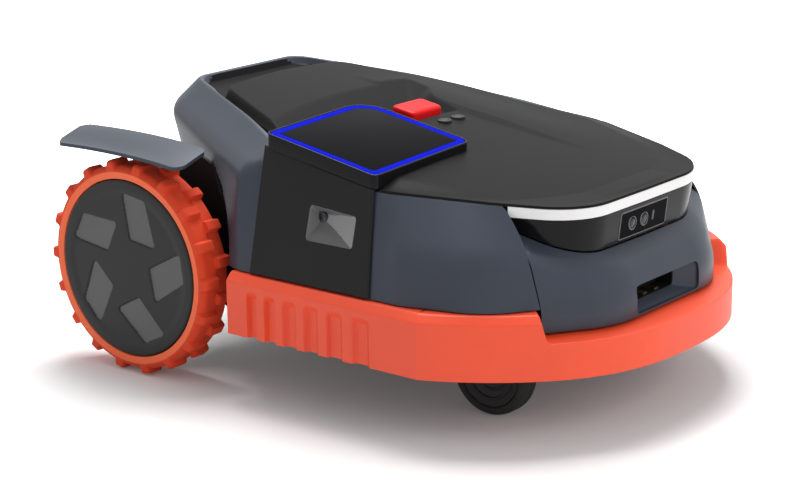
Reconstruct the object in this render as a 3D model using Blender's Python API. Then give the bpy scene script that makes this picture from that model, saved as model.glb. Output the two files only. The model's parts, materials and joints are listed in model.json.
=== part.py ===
"""Robotic lawn mower: two driven rear wheels, two front casters, a lifting cutter and a sprung bumper.

Metres, +Z up. The front faces -Y and the machine's right side is at -X.
The origin is on the ground under the middle of the machine.
"""
from math import atan2, cos, pi, radians, sin

import bmesh
import bpy
from mathutils import Vector

# Overall size, and the wall and clearances that every piece shares
LENGTH = 0.735
WIDTH = 0.554
GAP = 0.0004
SEAT = 0.0003
WALL = 0.003
FRONT = -LENGTH / 2
REAR = LENGTH / 2
STATIONS = 72
FRONT_BIAS = 0.35

# Drive wheels
WHEEL_R = 0.1295
LUG_H = 0.0061
TYRE_T = 0.0166
TYRE_W = 0.048
LUGS = 18
LUG_HALF_DEG = 2.1
AXLE_R = 0.010
BOSS_R = 0.024
CAP_T = 0.008
CAP_BEVEL = 0.003
POCKETS = 5
POCKET_DEG = 28
POCKET_T = 0.002
POCKET = ((0.092, 0.20), (0.050, 0.80), (0.036, 0.0), (0.092, -0.20))
TREAD_R = WHEEL_R - LUG_H
CAP_R = TREAD_R - TYRE_T
AXLE_Z = WHEEL_R * cos(radians(LUG_HALF_DEG))
AXLE_Y = REAR - AXLE_Z
WHEEL_X = WIDTH / 2
TYRE_X = WHEEL_X - TYRE_W

# Wheel arches, drive motors and mudguards
ARCH_GAP = 0.0205
HOUSE_GAP = 0.037
ARCH_R = WHEEL_R + ARCH_GAP
ARCH_Y = AXLE_Y - ARCH_R
HOUSE_X = TYRE_X - HOUSE_GAP
MOTOR_R = 0.036
MOTOR_L = 0.092
MOTOR_SIDES = 20
FLANGE_R = 0.046
FLANGE_T = 0.014
NECK_R = 0.030
NECK_L = 0.030
GUARD_W = 0.0515
GUARD_GAP = 0.0056
GUARD_RISE = 0.013
GUARD_AHEAD = 0.0881
GUARD_BEHIND = 0.1079
GUARD_CORNER = 0.021
ARM_Y = (0.012, 0.050)
ARM_RUN = 0.012
ARM_IN = 0.030
GUARD_Z = AXLE_Z + WHEEL_R + GUARD_GAP
LINER_DEG = (8, 110, 92)
LINER_LOW_W = 0.056
LINER_HIGH_W = 0.014

# Shell levels: the sill, the crease half way up, the sloping top plane and the rim round the rear
SILL_Z = 0.1498
FASCIA_Z = 0.124
NOSE_Z = 0.2476
NOSE_RUN = 0.1668
TOP_SLOPE = 0.139
RIM_RISE = 0.0098
RIM_LEAD = 0.106
RIM_RUN = 0.15
CREASE_NOSE = 0.0178
CREASE_SIDE = 0.0072
CREASE_DROP = 0.0205
CREASE_SLOPE = 0.115
CREASE_HALF = 0.19
CREASE_RUN = 0.16
CROWN_RISE = 0.0171
CROWN_DROP = 0.016
COVER_EDGE = 0.0025
SPINE_NOSE = 0.1475
SPINE_TAIL = 0.2075
FLANGE_W = 0.023
LEDGE_W = 0.010
BROW_IN = 0.006
TOP_Z = NOSE_Z - TOP_SLOPE * (FRONT + NOSE_RUN)

# Half widths of the shell: along its sill, at its shoulders and at its nose
SILL_INSET = 0.0205
LEAN = 0.031
NOSE_INSET = 0.0935
SILL_X = WHEEL_X - SILL_INSET
SHOULDER_X = SILL_X - LEAN
NOSE_X = SHOULDER_X - NOSE_INSET

# Nose: the seam of the fascia, camera bar, window, light strip and charging slot
SEAM_INSET = 0.0735
SEAM_NOSE = 0.015
SEAM_RISE = 0.0042
SEAM_DEPTH = 0.2025
BAR_H = 0.0518
BAR_BACK = 0.1395
BAR_RISE = 0.65
BAR_LEVEL = 0.0805
BAR_DEPTH = 0.020
STRIP_H = 0.0117
STRIP_T = 0.005
STRIP_OUT = 0.005
STRIP_Z = NOSE_Z - GAP - STRIP_H
BAR_Z = NOSE_Z - BAR_H
WINDOW_HALF = 0.0385
WINDOW_H = 0.033
WINDOW_FLOOR = 0.0022
WINDOW_BACK = 0.075
WINDOW_T = 0.002
LENS_R = 0.008
LENS_X = 0.022
LENS_L = 0.0054
LAMP_W = 0.006
LAMP_H = 0.017
SLOT_HALF = 0.046
SLOT_H = 0.030
SLOT_FLOOR = 0.004
SLOT_DEPTH = 0.0575
SOCKET_HALF = 0.053
SOCKET_L = 0.033
SOCKET_H = 0.037
MOUTH_IN = 0.003
THROAT_HALF = 0.025
THROAT_H = 0.020
CONTACT_W = 0.008
CONTACT_X = 0.012

# Bumper skirt
BUMPER_INSET = 0.0083
BUMPER_Z = 0.0765
BUMPER_T = 0.007
BUMPER_BACK = 0.0236
BUMPER_RUN = 0.1801
BUMPER_BEVEL = 0.008
BUMPER_BAND = 0.009
BUMPER_TOP_W = 0.020
LEDGE_FALL = 0.006
LEDGE_DEPTH = 0.040
LEDGE_LIP = 0.003
STEP_RUN = 0.006
STEP_GAP = 0.0015
BUMPER_STEPS = 96
FLUTES = 6
FLUTE_DEPTH = 0.005
FLUTE_PITCH = 0.0265
FLUTE_GROWTH = 1.075
FLUTE_FIRST = 0.030
FLUTE_FADE = 0.012
BUMPER_X = WHEEL_X - BUMPER_INSET
BUMPER_TOP = SILL_Z - 2 * GAP
LEDGE_Z = FASCIA_Z - LEDGE_FALL
BUMPER_REAR = AXLE_Y - WHEEL_R - BUMPER_BACK
BUMPER_BEND = FRONT + BUMPER_RUN

# Display module on the right shoulder and the panel below it
DISPLAY_W = 0.175
DISPLAY_L = 0.1585
DISPLAY_OUT = 0.0025
DISPLAY_GAP = 0.0526
DISPLAY_RISE = 0.01905
DISPLAY_FOOT = 0.0037
DISPLAY_PITCH = 0.041
DISPLAY_TILT = 0.045
FOOT_PITCH = 0.031
TRAY_IN = 0.002
TRAY_DEPTH = 0.0025
FRAME_W = 0.008
CORNERS = (0.008, 0.012, 0.036, 0.008)
PANEL_T = 0.0036
PANEL_FLARE = 0.0135
LEAN_LEAD = 0.0475
LEAN_TAIL = 0.015
LEAN_RUN = 0.03
EYE_Y = (0.0195, 0.0865)
EYE_Z = (0.0492, 0.0882)
EYE_DROP = 0.004
EYE_R = 0.004
EYE_DEPTH = 0.016
EYE_LENS_R = 0.005
EYE_LENS = (0.0645, 0.0697)
DISPLAY_X = (-SHOULDER_X - DISPLAY_OUT, DISPLAY_W - SHOULDER_X - DISPLAY_OUT)
DISPLAY_Y = (AXLE_Y - WHEEL_R - DISPLAY_GAP - DISPLAY_L, AXLE_Y - WHEEL_R - DISPLAY_GAP)
DISPLAY_PLANE = TOP_Z + TOP_SLOPE * DISPLAY_Y[0]
SHOULDER_Y = DISPLAY_Y[0] + DISPLAY_OUT

# Controls and the scoop behind them, placed from the stop button's front corner
STOP_GAP = 0.035
STOP_BACK = 0.111
STOP_W = 0.058
STOP_L = 0.0342
STOP_RISE = 0.0070
STOP_SLOPE = 0.175
STOP_EDGE = 0.002
STOP_CORNER = 0.006
SCOOP_DEPTH = 0.0078
SCOOP_BRIM = ((-0.022, 0.0555), (-0.022, -0.0065), (0.082, -0.0065), (0.092, 0.0315), (0.114, 0.0745),
              (0.098, 0.1135), (-0.022, 0.1135))
SCOOP_FLOOR = ((-0.010, 0.0475), (-0.010, -0.0045), (0.068, -0.0045), (0.072, 0.0315), (0.074, 0.0475),
               (0.070, 0.0575), (-0.010, 0.0575))
KEY_R = 0.0085
KEY_H = 0.0022
KEY_DEPTH = 0.006
KEY_AT = ((0.024, -0.028), (0.0505, -0.028))
STOP_X = (DISPLAY_X[1] + STOP_GAP, DISPLAY_X[1] + STOP_GAP + STOP_W)
STOP_Y = (DISPLAY_Y[0] + STOP_BACK, DISPLAY_Y[0] + STOP_BACK + STOP_L)
STOP_PLANE = TOP_Z + CROWN_RISE + TOP_SLOPE * STOP_Y[0]
SCOOP_Z = STOP_PLANE - SCOOP_DEPTH

# Casters
CASTER_R = 0.050
CASTER_W = 0.030
CASTER_X = 0.128
CASTER_BACK = 0.1765
CASTER_TRAIL = 0.026
CASTER_TYRE = 0.010
CASTER_GAP = 0.003
STEM_R = 0.007
STEM_RISE = 0.026
SOCKET_R = 0.014
PIN_R = 0.004
FORK_T = 0.004
CASTER_Y = FRONT + CASTER_BACK

# Chassis tub and what stands in it
FLOOR_GAP = 0.005
FLOOR_T = 0.004
TUB_INSET = 0.014
TUB_NOSE = 0.0755
TUB_NOSE_HALF = 0.120
TUB_SIDE = 0.2025
TUB_STEP = 0.0161
TUB_TAIL = 0.1215
TUB_X = SILL_X - TUB_INSET
TUB_REAR_X = HOUSE_X - GAP
TUB_STEP_Y = AXLE_Y - ARCH_R - TUB_STEP
FLOOR_Z = 2 * CASTER_R + 3 * CASTER_GAP + FLOOR_GAP
DECK_Z = FLOOR_Z + FLOOR_T + SEAT
BATTERY_W = 0.200
BATTERY_L = 0.165
BATTERY_H = 0.0667
BATTERY_BACK = 0.1175
BOX_GAP = 0.015
BOX_L = 0.106
BOX_H = 0.0417
BOX_TAIL = 0.1315
ANTENNA_R = 0.045
ANTENNA_STEM = 0.012
ANTENNA_GAP = 0.0336
ANTENNA_T = 0.010
ANTENNA_TAIL = 0.1875

# Cutter and its lift
CUT_Y = 0.012
DISC_R = 0.105
DISC_DROP = 0.052
DISC_T = 0.004
DISC_GAP = 0.004
BLADES = 3
BLADE_IN = 0.013
BLADE_L = 0.036
BLADE_HALF = 0.009
BLADE_T = 0.0016
STUD_R = 0.003
CARRIAGE_R = 0.050
TOWER_T = 0.004
TOWER_H = 0.028
PLATE_RISE = 0.068
PLATE_T = 0.007
SPINDLE_R = 0.006
SPINDLE_L = 0.020
ROD_R = 0.004
ROD_AT = (-0.064, 0.036)
ROD_RISE = 0.091
LIFT_X = 0.078
LIFT_R = 0.014
LIFT_RISE = 0.030
BLADE_RING = DISC_R - BLADE_IN
DISC_Z = FLOOR_Z - DISC_DROP
PLATE_Z = FLOOR_Z + PLATE_RISE
ROD_TOP = FLOOR_Z + ROD_RISE
LIFT_TOP = FLOOR_Z + LIFT_RISE

FINISH = {
    "slate_plastic": ((0.148, 0.165, 0.205), 0.45, 0.0),
    "orange_plastic": ((0.73, 0.085, 0.030), 0.45, 0.0),
    "orange_rubber": ((0.70, 0.050, 0.012), 0.60, 0.0),
    "charcoal_plastic": ((0.050, 0.050, 0.052), 0.55, 0.0),
    "black_plastic": ((0.020, 0.020, 0.021), 0.55, 0.0),
    "gloss_black": ((0.008, 0.008, 0.009), 0.12, 0.0),
    "grey_plastic": ((0.037, 0.037, 0.038), 0.50, 0.0),
    "red_plastic": ((0.85, 0.012, 0.010), 0.30, 0.0),
    "white_plastic": ((0.78, 0.78, 0.78), 0.30, 0.0),
    "blue_plastic": ((0.010, 0.010, 0.52), 0.25, 0.0),
    "lens_glass": ((0.010, 0.012, 0.020), 0.05, 0.0),
    "black_rubber": ((0.018, 0.018, 0.018), 0.80, 0.0),
    "steel": ((0.55, 0.55, 0.56), 0.30, 1.0),
    "brass": ((0.72, 0.52, 0.20), 0.28, 1.0),
}


def mix(a, b, t):
    """Value a share t of the way from a to b."""
    return a + (b - a) * t


def ease(t):
    """Smooth step from 0 to 1."""
    t = min(max(t, 0.0), 1.0)
    return t * t * (3.0 - 2.0 * t)


def fillet(points, steps=5):
    """Polygon of (x, y, radius) corners with each corner rounded by an arc."""
    outline = []
    for i, (x, y, radius) in enumerate(points):
        corner = Vector((x, y))
        if radius == 0.0:
            outline.append(corner)
            continue
        back = (Vector(points[i - 1][:2]) - corner).normalized()
        ahead = (Vector(points[(i + 1) % len(points)][:2]) - corner).normalized()
        half = back.angle(ahead) / 2
        reach = radius / sin(half)
        centre = corner + (back + ahead).normalized() * reach
        first = corner + back * (reach * cos(half)) - centre
        last = corner + ahead * (reach * cos(half)) - centre
        turn = pi - 2 * half
        for k in range(steps + 1):
            share = k / steps
            arm = (first * sin((1 - share) * turn) + last * sin(share * turn)) / sin(turn)
            outline.append(centre + arm)
    return outline


def mirrored(points):
    """Closed outline from a half given front to rear at +X."""
    return points + [(-x, y, r) for x, y, r in reversed(points) if x > 0.0]


def polar(outline, count=STATIONS):
    """Outline sampled where rays from the middle cross it, front first, turning to +X, closer at the front."""
    samples = []
    for k in range(count):
        turn = 2 * pi * k / count
        angle = turn - FRONT_BIAS * sin(turn)
        ray = Vector((sin(angle), -cos(angle)))
        best = 0.0
        for a, b in zip(outline, outline[1:] + outline[:1]):
            edge = b - a
            cross = ray.x * edge.y - ray.y * edge.x
            if abs(cross) < 1e-12:
                continue
            far = (a.x * edge.y - a.y * edge.x) / cross
            along = (a.x * ray.y - a.y * ray.x) / cross
            if far > best and -1e-9 <= along <= 1.0 + 1e-9:
                best = far
        samples.append(ray * best)
    return samples


def inset(path, depth, closed=True):
    """Path moved to its left, which is inward for an outline that turns from the front to +X."""
    moved = []
    for i, point in enumerate(path):
        back = path[i - 1] if closed or i > 0 else point
        ahead = path[(i + 1) % len(path)] if closed or i < len(path) - 1 else point
        run = ahead - back
        step = depth[i] if isinstance(depth, list) else depth
        moved.append(point + Vector((-run.y, run.x)).normalized() * step)
    return moved


def raised(path, height):
    """Plan path as 3-D points; height is a number or a function of the point."""
    return [Vector((p.x, p.y, height(p) if callable(height) else height)) for p in path]


def levelled(path, heights):
    """Plan path as 3-D points with one height for each point."""
    return [Vector((p.x, p.y, z)) for p, z in zip(path, heights)]


def loft(loops, ring=False):
    """Skin over equal closed loops; the ends are capped unless the loops close on themselves."""
    bm = bmesh.new()
    rows = [[bm.verts.new(p) for p in loop] for loop in loops]
    size = len(rows[0])
    pairs = list(zip(rows, rows[1:]))
    if ring:
        pairs.append((rows[-1], rows[0]))
    for low, high in pairs:
        for i in range(size):
            j = (i + 1) % size
            bm.faces.new((low[i], low[j], high[j], high[i]))
    if not ring:
        bm.faces.new(rows[0])
        bm.faces.new(rows[-1])
    bmesh.ops.recalc_face_normals(bm, faces=bm.faces)
    return bm


def sections(rings, ring=False):
    """Solid whose cross-section at each station runs through the same station of every ring."""
    return loft([list(points) for points in zip(*rings)], ring)


def prism(outline, low, high):
    """Upright prism; low and high are heights or functions of the plan point."""
    plan = [Vector(p[:2]) for p in outline]
    return loft([raised(plan, low), raised(plan, high)])


def facing(outline, near, far):
    """Prism along Y over an outline drawn in X and Z."""
    return loft([[Vector((p.x, y, p.y)) for p in outline] for y in (near, far)])


def block(xs, ys, zs):
    """Box between three pairs of limits."""
    corners = [(xs[0], ys[0]), (xs[1], ys[0]), (xs[1], ys[1]), (xs[0], ys[1])]
    return prism(corners, zs[0], zs[1])


def rounded(xs, ys, radius):
    """Rectangle outline with rounded corners."""
    corners = ((xs[0], ys[0]), (xs[1], ys[0]), (xs[1], ys[1]), (xs[0], ys[1]))
    return fillet([(x, y, radius) for x, y in corners], 3)


def lathe(profile, centre, axis="X", count=24, hollow=False):
    """Turned solid from (radius, place along the axis); a hollow one closes its profile round the bore."""
    loops = []
    for radius, along in profile:
        loop = []
        for k in range(count):
            u = radius * cos(2 * pi * k / count)
            v = radius * sin(2 * pi * k / count)
            spot = (along, u, v) if axis == "X" else (u, v, along)
            loop.append(Vector(spot) + Vector(centre))
        loops.append(loop)
    return loft(loops, hollow)


def rod(radius, low, high, centre, axis="X", count=24):
    """Plain cylinder."""
    return lathe([(radius, low), (radius, high)], centre, axis, count)


def material(finish):
    """Principled material of one finish, made once."""
    if finish in bpy.data.materials:
        return bpy.data.materials[finish]
    colour, roughness, metallic = FINISH[finish]
    made = bpy.data.materials.new(finish)
    made.use_nodes = True
    shader = made.node_tree.nodes["Principled BSDF"]
    shader.inputs["Base Color"].default_value = (*colour, 1.0)
    shader.inputs["Roughness"].default_value = roughness
    shader.inputs["Metallic"].default_value = metallic
    return made


def part(name, bm, finish, origin=(0.0, 0.0, 0.0)):
    """Named object with its origin on its joint axis."""
    for vert in bm.verts:
        vert.co -= Vector(origin)
    mesh = bpy.data.meshes.new(name)
    bm.to_mesh(mesh)
    bm.free()
    mesh.materials.append(material(finish))
    made = bpy.data.objects.new(name, mesh)
    made.location = origin
    bpy.context.collection.objects.link(made)
    return made


def carve(target, bm, operation="DIFFERENCE"):
    """Exact boolean of a piece with a tool shape, which is removed afterwards."""
    tool = part("tool", bm, "black_plastic")
    step = target.modifiers.new("carve", "BOOLEAN")
    step.operation = operation
    step.solver = "EXACT"
    step.object = tool
    view = bpy.context.evaluated_depsgraph_get()
    mesh = bpy.data.meshes.new_from_object(target.evaluated_get(view))
    target.modifiers.remove(step)
    mesh.materials.clear()
    mesh.materials.append(target.data.materials[0])
    mesh.polygons.foreach_set("material_index", [0] * len(mesh.polygons))
    clean = bmesh.new()
    clean.from_mesh(mesh)
    bmesh.ops.remove_doubles(clean, verts=clean.verts, dist=WALL / 3000)
    bmesh.ops.dissolve_degenerate(clean, edges=clean.edges, dist=WALL / 3000)
    clean.to_mesh(mesh)
    clean.free()
    worn = target.data
    target.data = mesh
    bpy.data.meshes.remove(worn)
    bpy.data.objects.remove(tool)
    return target


def top_z(p):
    """Sloping plane that the cover rests on, levelled off at the nose."""
    return max(TOP_Z + TOP_SLOPE * p.y, NOSE_Z)


def rim_z(p):
    """Outer top edge: the plane, raised to the rim behind the shoulders."""
    return top_z(p) + RIM_RISE * ease((p.y - DISPLAY_Y[1] + RIM_LEAD) / RIM_RUN)


def crease_z(p):
    """Crease line: low over the fascia, higher along the sides and up to the rear."""
    front = mix(BAR_Z - CREASE_NOSE, BAR_Z + CREASE_SIDE, ease(abs(p.x) / CREASE_HALF))
    return mix(front, TOP_Z - CREASE_DROP + CREASE_SLOPE * p.y, ease((p.y - SHOULDER_Y) / CREASE_RUN))


def crown_z(x, y):
    """Cover surface."""
    return TOP_Z + CROWN_RISE + TOP_SLOPE * y - CROWN_DROP * (x / SHOULDER_X) ** 2


def brow_z(p):
    """Top edge of the fascia: level under the bar, then rising along it to the cover."""
    return min(BAR_Z + BAR_RISE * max(0.0, p.y - FRONT - BAR_LEVEL), NOSE_Z - 3 * GAP)


def display_top(p, sink=0.0):
    """Sloping top plane of the display module."""
    rise = (TOP_SLOPE + DISPLAY_PITCH) * (p.y - DISPLAY_Y[0]) + DISPLAY_TILT * (p.x - DISPLAY_X[0])
    return DISPLAY_PLANE + DISPLAY_RISE + rise - sink


def display_foot(p):
    """Underside of the display housing, just clear of the shell's top edge."""
    return DISPLAY_PLANE + DISPLAY_FOOT + (TOP_SLOPE + FOOT_PITCH) * (p.y - DISPLAY_Y[0])


def side_x(z):
    """Half width of the straight lean behind the side panel at a height."""
    return mix(SILL_X, SHOULDER_X, (z - SILL_Z) / (TOP_Z - 4 * WALL - SILL_Z))


def panel_seat(p):
    """Crease point, moved onto the straight lean where the side panel sits on the right."""
    if p.x > 0.0:
        return p
    rear = DISPLAY_Y[1] + LEAN_TAIL
    share = ease((p.y - DISPLAY_Y[0] + LEAN_LEAD) / LEAN_RUN) * (1.0 - ease((p.y - rear) / LEAN_RUN))
    return Vector((mix(p.x, -side_x(crease_z(p)), share), p.y))


# Plan outlines, corner by corner from the nose to the tail: the front corners keep their distance from the
# front end, the shoulder stays at the display, the flanks end ahead of the wheel arch
SILL = polar(fillet(mirrored([
    (0.0, FRONT + 0.0225, 0.0), (SILL_X - 0.1065, FRONT + 0.0355, 0.10), (SILL_X, FRONT + 0.1425, 0.09),
    (SILL_X, ARCH_Y - 0.0281, 0.06), (SILL_X - 0.1365, REAR - 0.0925, 0.04), (0.0, REAR - 0.0925, 0.0)])))
CREASE = [panel_seat(p) for p in polar(fillet(mirrored([
    (0.0, FRONT + 0.0375, 0.0), (SILL_X - 0.1215, FRONT + 0.0515, 0.09),
    (SILL_X - 0.0105, FRONT + 0.1455, 0.09), (SILL_X - 0.0135, ARCH_Y - 0.0381, 0.06),
    (SILL_X - 0.1415, REAR - 0.0455, 0.04), (0.0, REAR - 0.0425, 0.0)])))]
NOSE = [(0.0, FRONT + 0.0615, 0.0), (NOSE_X, FRONT + 0.0645, 0.05), (NOSE_X + 0.009, FRONT + 0.1535, 0.02),
        (SHOULDER_X, SHOULDER_Y, 0.06)]
RIM = polar(fillet(mirrored(NOSE + [
    (SHOULDER_X - 0.0065, ARCH_Y - 0.0681, 0.08), (NOSE_X - 0.0385, REAR - 0.0745, 0.03),
    (0.0, REAR - 0.0745, 0.0)])))
COVER = polar(fillet(mirrored(NOSE + [
    (SHOULDER_X - 0.0255, ARCH_Y - 0.0581, 0.08), (NOSE_X - 0.020, REAR - 0.1355, 0.03),
    (0.0, REAR - 0.1295, 0.0)])))


def seam_prism(spare):
    """Wedge of the nose that belongs to the fascia, seen from the front."""
    low = SILL_X - SEAM_INSET + spare
    high = NOSE_X + SEAM_NOSE + spare
    top = NOSE_Z - WALL / 2
    half = [(low, 0.0), (low, BAR_Z + SEAM_RISE), (high, top), (high, 2 * top)]
    face = half + [(-x, z) for x, z in reversed(half)]
    return loft([[Vector((x, y, z)) for x, z in face] for y in (2 * FRONT, FRONT + SEAM_DEPTH)])


def build_shell():
    """Slate collar with a rim round the cover, a flange along its foot and the two wheel arches."""
    land = [mix(0.4 * LEDGE_W, -WALL / 2, ease((p.y - SHOULDER_Y) / 0.10)) for p in COVER]
    edge = inset(COVER, land)
    rail = [a.lerp(b, 0.35) for a, b in zip(RIM, edge)]
    ledge = inset(COVER, LEDGE_W)
    under = inset(RIM, 2 * WALL)
    foot = inset(SILL, FLANGE_W)
    rings = [
        raised(SILL, SILL_Z), raised(CREASE, crease_z), raised(RIM, rim_z), raised(rail, rim_z),
        raised(edge, top_z), raised(ledge, top_z), raised(ledge, lambda p: top_z(p) - WALL),
        raised(under, lambda p: top_z(p) - 2 * WALL), raised(inset(CREASE, WALL), crease_z),
        raised(inset(SILL, WALL), SILL_Z + WALL), raised(foot, SILL_Z + WALL), raised(foot, SILL_Z)]
    shell = part("upper_shell", sections(rings, True), "slate_plastic")
    carve(shell, seam_prism(GAP))
    hub = (0.0, AXLE_Y, AXLE_Z)
    for side in (-1, 1):
        carve(shell, rod(ARCH_R, side * HOUSE_X, side * WIDTH, hub, "X", 64))
        carve(shell, rod(MOTOR_R + GAP, side * (HOUSE_X - MOTOR_L - FLOOR_T), side * WHEEL_X, hub, "X", MOTOR_SIDES))
    return shell


def fascia_path(outline):
    """Front stretch of an outline, from beyond the right seam round to beyond the left one."""
    span = round(STATIONS * 0.16)
    return outline[-span:] + outline[:span + 1]


def build_fascia():
    """Front fascia with its brow under the camera bar and the charging slot."""
    sill = fascia_path(SILL)
    crease = fascia_path(CREASE)
    brow = inset(fascia_path(COVER), BROW_IN, False)
    brows = [brow_z(p) for p in brow]
    back = inset(sill, WALL, False)
    rings = [
        raised(sill, FASCIA_Z), raised(sill, SILL_Z), raised(crease, crease_z), levelled(brow, brows),
        levelled(inset(brow, WALL, False), brows),
        raised(inset(crease, WALL, False), lambda p: crease_z(p) - WALL),
        raised(back, SILL_Z), raised(back, FASCIA_Z)]
    fascia = part("front_fascia", sections(rings), "slate_plastic")
    carve(fascia, seam_prism(0.0), "INTERSECT")
    low = FASCIA_Z + SLOT_FLOOR
    slot = rounded((-SLOT_HALF, SLOT_HALF), (low, low + SLOT_H), 2 * WALL)
    carve(fascia, facing(slot, 2 * FRONT, FRONT + SLOT_DEPTH))


def build_nose():
    """Camera bar with its window, lenses and lamp, and the light strip over it."""
    nose = fascia_path(COVER)
    brow = inset(nose, BROW_IN, False)
    strip_x = NOSE_X + STRIP_OUT
    at = [i for i, p in enumerate(nose) if abs(p.x) < NOSE_X + SEAM_NOSE - WALL / 3 and p.y < FRONT + BAR_BACK]
    short = [nose[i] for i in at]
    lip = [brow[i] for i in at]
    sole = [brow_z(p) + 2 * GAP for p in lip]
    roof = NOSE_Z - GAP
    step = lambda p: mix(STRIP_Z - GAP, roof - GAP, ease((abs(p.x) - strip_x) / (STRIP_T - 2 * GAP)))
    rings = [
        levelled(lip, sole), raised(inset(short, 2 * GAP, False), step),
        raised(inset(short, STRIP_T + GAP, False), step), raised(inset(short, STRIP_T + 2 * GAP, False), roof),
        raised(inset(short, BAR_DEPTH - 5 * GAP, False), roof), levelled(inset(short, BAR_DEPTH, False), sole)]
    bar = part("camera_bar", sections(rings), "gloss_black")
    low = BAR_Z + WINDOW_FLOOR
    back = FRONT + WINDOW_BACK
    window = rounded((-WINDOW_HALF, WINDOW_HALF), (low, low + WINDOW_H), 2 * WALL)
    carve(bar, facing(window, 2 * FRONT, back))

    lit = [p for p in nose if abs(p.x) < strip_x and p.y < FRONT + BAR_BACK + BAR_DEPTH]
    rear = inset(lit, STRIP_T, False)
    rings = [raised(lit, STRIP_Z), raised(lit, roof), raised(rear, roof), raised(rear, STRIP_Z)]
    part("light_strip", sections(rings), "white_plastic")

    pane = rounded((GAP - WINDOW_HALF, WINDOW_HALF - GAP), (low + GAP, low + WINDOW_H - GAP), 2 * WALL)
    front = back - SEAT - LENS_L
    part("camera_window", facing(pane, front - SEAT - WINDOW_T, front - SEAT), "lens_glass")
    middle = low + WINDOW_H / 2
    for name, x in (("camera_lens_right", -LENS_X), ("camera_lens_left", LENS_X)):
        turns = [k * pi / 8 for k in range(16)]
        face = [Vector((x + LENS_R * cos(a), middle + LENS_R * sin(a))) for a in turns]
        part(name, facing(face, front, back - SEAT), "lens_glass")
    lamp = block((-LAMP_W / 2, LAMP_W / 2), (front, back - SEAT), (middle - LAMP_H / 2, middle + LAMP_H / 2))
    part("camera_lamp", lamp, "white_plastic")


def build_cover():
    """Crowned cover with the scoop, the button openings and the notch for the display."""
    foot = raised(COVER, lambda p: top_z(p) + GAP)
    ends = (FRONT + SPINE_NOSE, REAR - SPINE_TAIL)
    spine = [Vector((0.0, min(max(p.y, ends[0]), ends[1]))) for p in COVER]
    tops = []
    for share in (1.0, 0.97, 0.90, 0.80, 0.50, 0.12):
        plan = [b.lerp(a, share) for a, b in zip(COVER, spine)]
        skin = []
        for rim, p in zip(foot, plan):
            height = mix(crown_z(p.x, p.y), rim.z + COVER_EDGE, ease((share - 0.80) / 0.20))
            skin.append(Vector((p.x, p.y, height)))
        tops.append(skin)
    unders = [[Vector((p.x, p.y, max(p.z - WALL, rim.z))) for p, rim in zip(skin, foot)] for skin in tops[3:]]
    cover = part("top_cover", loft(list(reversed(unders)) + [foot] + tops), "charcoal_plastic")
    brim = [(STOP_X[0] + x, STOP_Y[0] + y) for x, y in SCOOP_BRIM]
    tray = [Vector((x, y, SCOOP_Z - WALL)) for x, y in brim]
    carve(cover, loft([tray, [Vector((p.x, p.y, crown_z(p.x, p.y) - WALL / 3)) for p in tray]]), "UNION")
    low = [Vector((STOP_X[0] + x, STOP_Y[0] + y, SCOOP_Z)) for x, y in SCOOP_FLOOR]
    middle = sum((Vector(p) for p in brim), Vector((0.0, 0.0))) / len(brim)
    over = 2 * SCOOP_DEPTH + STOP_RISE + DISPLAY_RISE
    high = []
    for (x, y), base in zip(brim, low):
        edge = Vector((mix(x, middle.x, 0.04), mix(y, middle.y, 0.04), crown_z(x, y)))
        high.append(base + (edge - base) * (over / (edge.z - SCOOP_Z)))
    carve(cover, loft([low, high]))
    hole = rounded((STOP_X[0] - GAP, STOP_X[1] + GAP), (STOP_Y[0] - GAP, STOP_Y[1] + GAP), STOP_CORNER)
    carve(cover, prism(hole, NOSE_Z, NOSE_Z + 2 * WHEEL_R))
    for x, y in KEY_AT:
        spot = (STOP_X[0] + x, STOP_Y[0] + y, 0.0)
        carve(cover, rod(KEY_R + GAP, NOSE_Z, NOSE_Z + 2 * WHEEL_R, spot, "Z", 24))
    xs = (-WIDTH, DISPLAY_X[1] + GAP)
    ys = (DISPLAY_Y[0] - GAP, DISPLAY_Y[1] + GAP)
    carve(cover, block(xs, ys, (SILL_Z, SILL_Z + 2 * WHEEL_R)))


def build_controls():
    """Stop button and the two keys."""
    sole = SCOOP_Z - 2 * WALL
    outline = rounded(STOP_X, STOP_Y, STOP_CORNER)
    xs = (STOP_X[0] + STOP_EDGE, STOP_X[1] - STOP_EDGE)
    ys = (STOP_Y[0] + STOP_EDGE, STOP_Y[1] - STOP_EDGE)
    small = rounded(xs, ys, STOP_CORNER - STOP_EDGE / 2)
    slope = lambda p: STOP_PLANE + STOP_RISE + STOP_SLOPE * (p.y - STOP_Y[0])
    loops = [raised(outline, sole), raised(outline, lambda p: slope(p) - STOP_EDGE), raised(small, slope)]
    middle = ((STOP_X[0] + STOP_X[1]) / 2, (STOP_Y[0] + STOP_Y[1]) / 2, sole)
    part("stop_button", loft(loops), "red_plastic", middle)
    for name, (x, y) in zip(("power_key", "menu_key"), KEY_AT):
        x += STOP_X[0]
        y += STOP_Y[0]
        z = crown_z(x, y)
        profile = [(KEY_R, z - KEY_DEPTH), (KEY_R, z + KEY_H / 2), (KEY_R * 0.8, z + KEY_H)]
        part(name, lathe(profile, (x, y, 0.0), "Z", 20), "grey_plastic", (x, y, z))


def display_outline(shrink):
    """Outline of the display module, drawn in by a margin."""
    xs = (DISPLAY_X[0] + shrink, DISPLAY_X[1] - shrink)
    ys = (DISPLAY_Y[0] + shrink, DISPLAY_Y[1] - shrink)
    corners = ((xs[0], ys[0]), (xs[1], ys[0]), (xs[1], ys[1]), (xs[0], ys[1]))
    return fillet([(x, y, radius) for (x, y), radius in zip(corners, CORNERS)])


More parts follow.
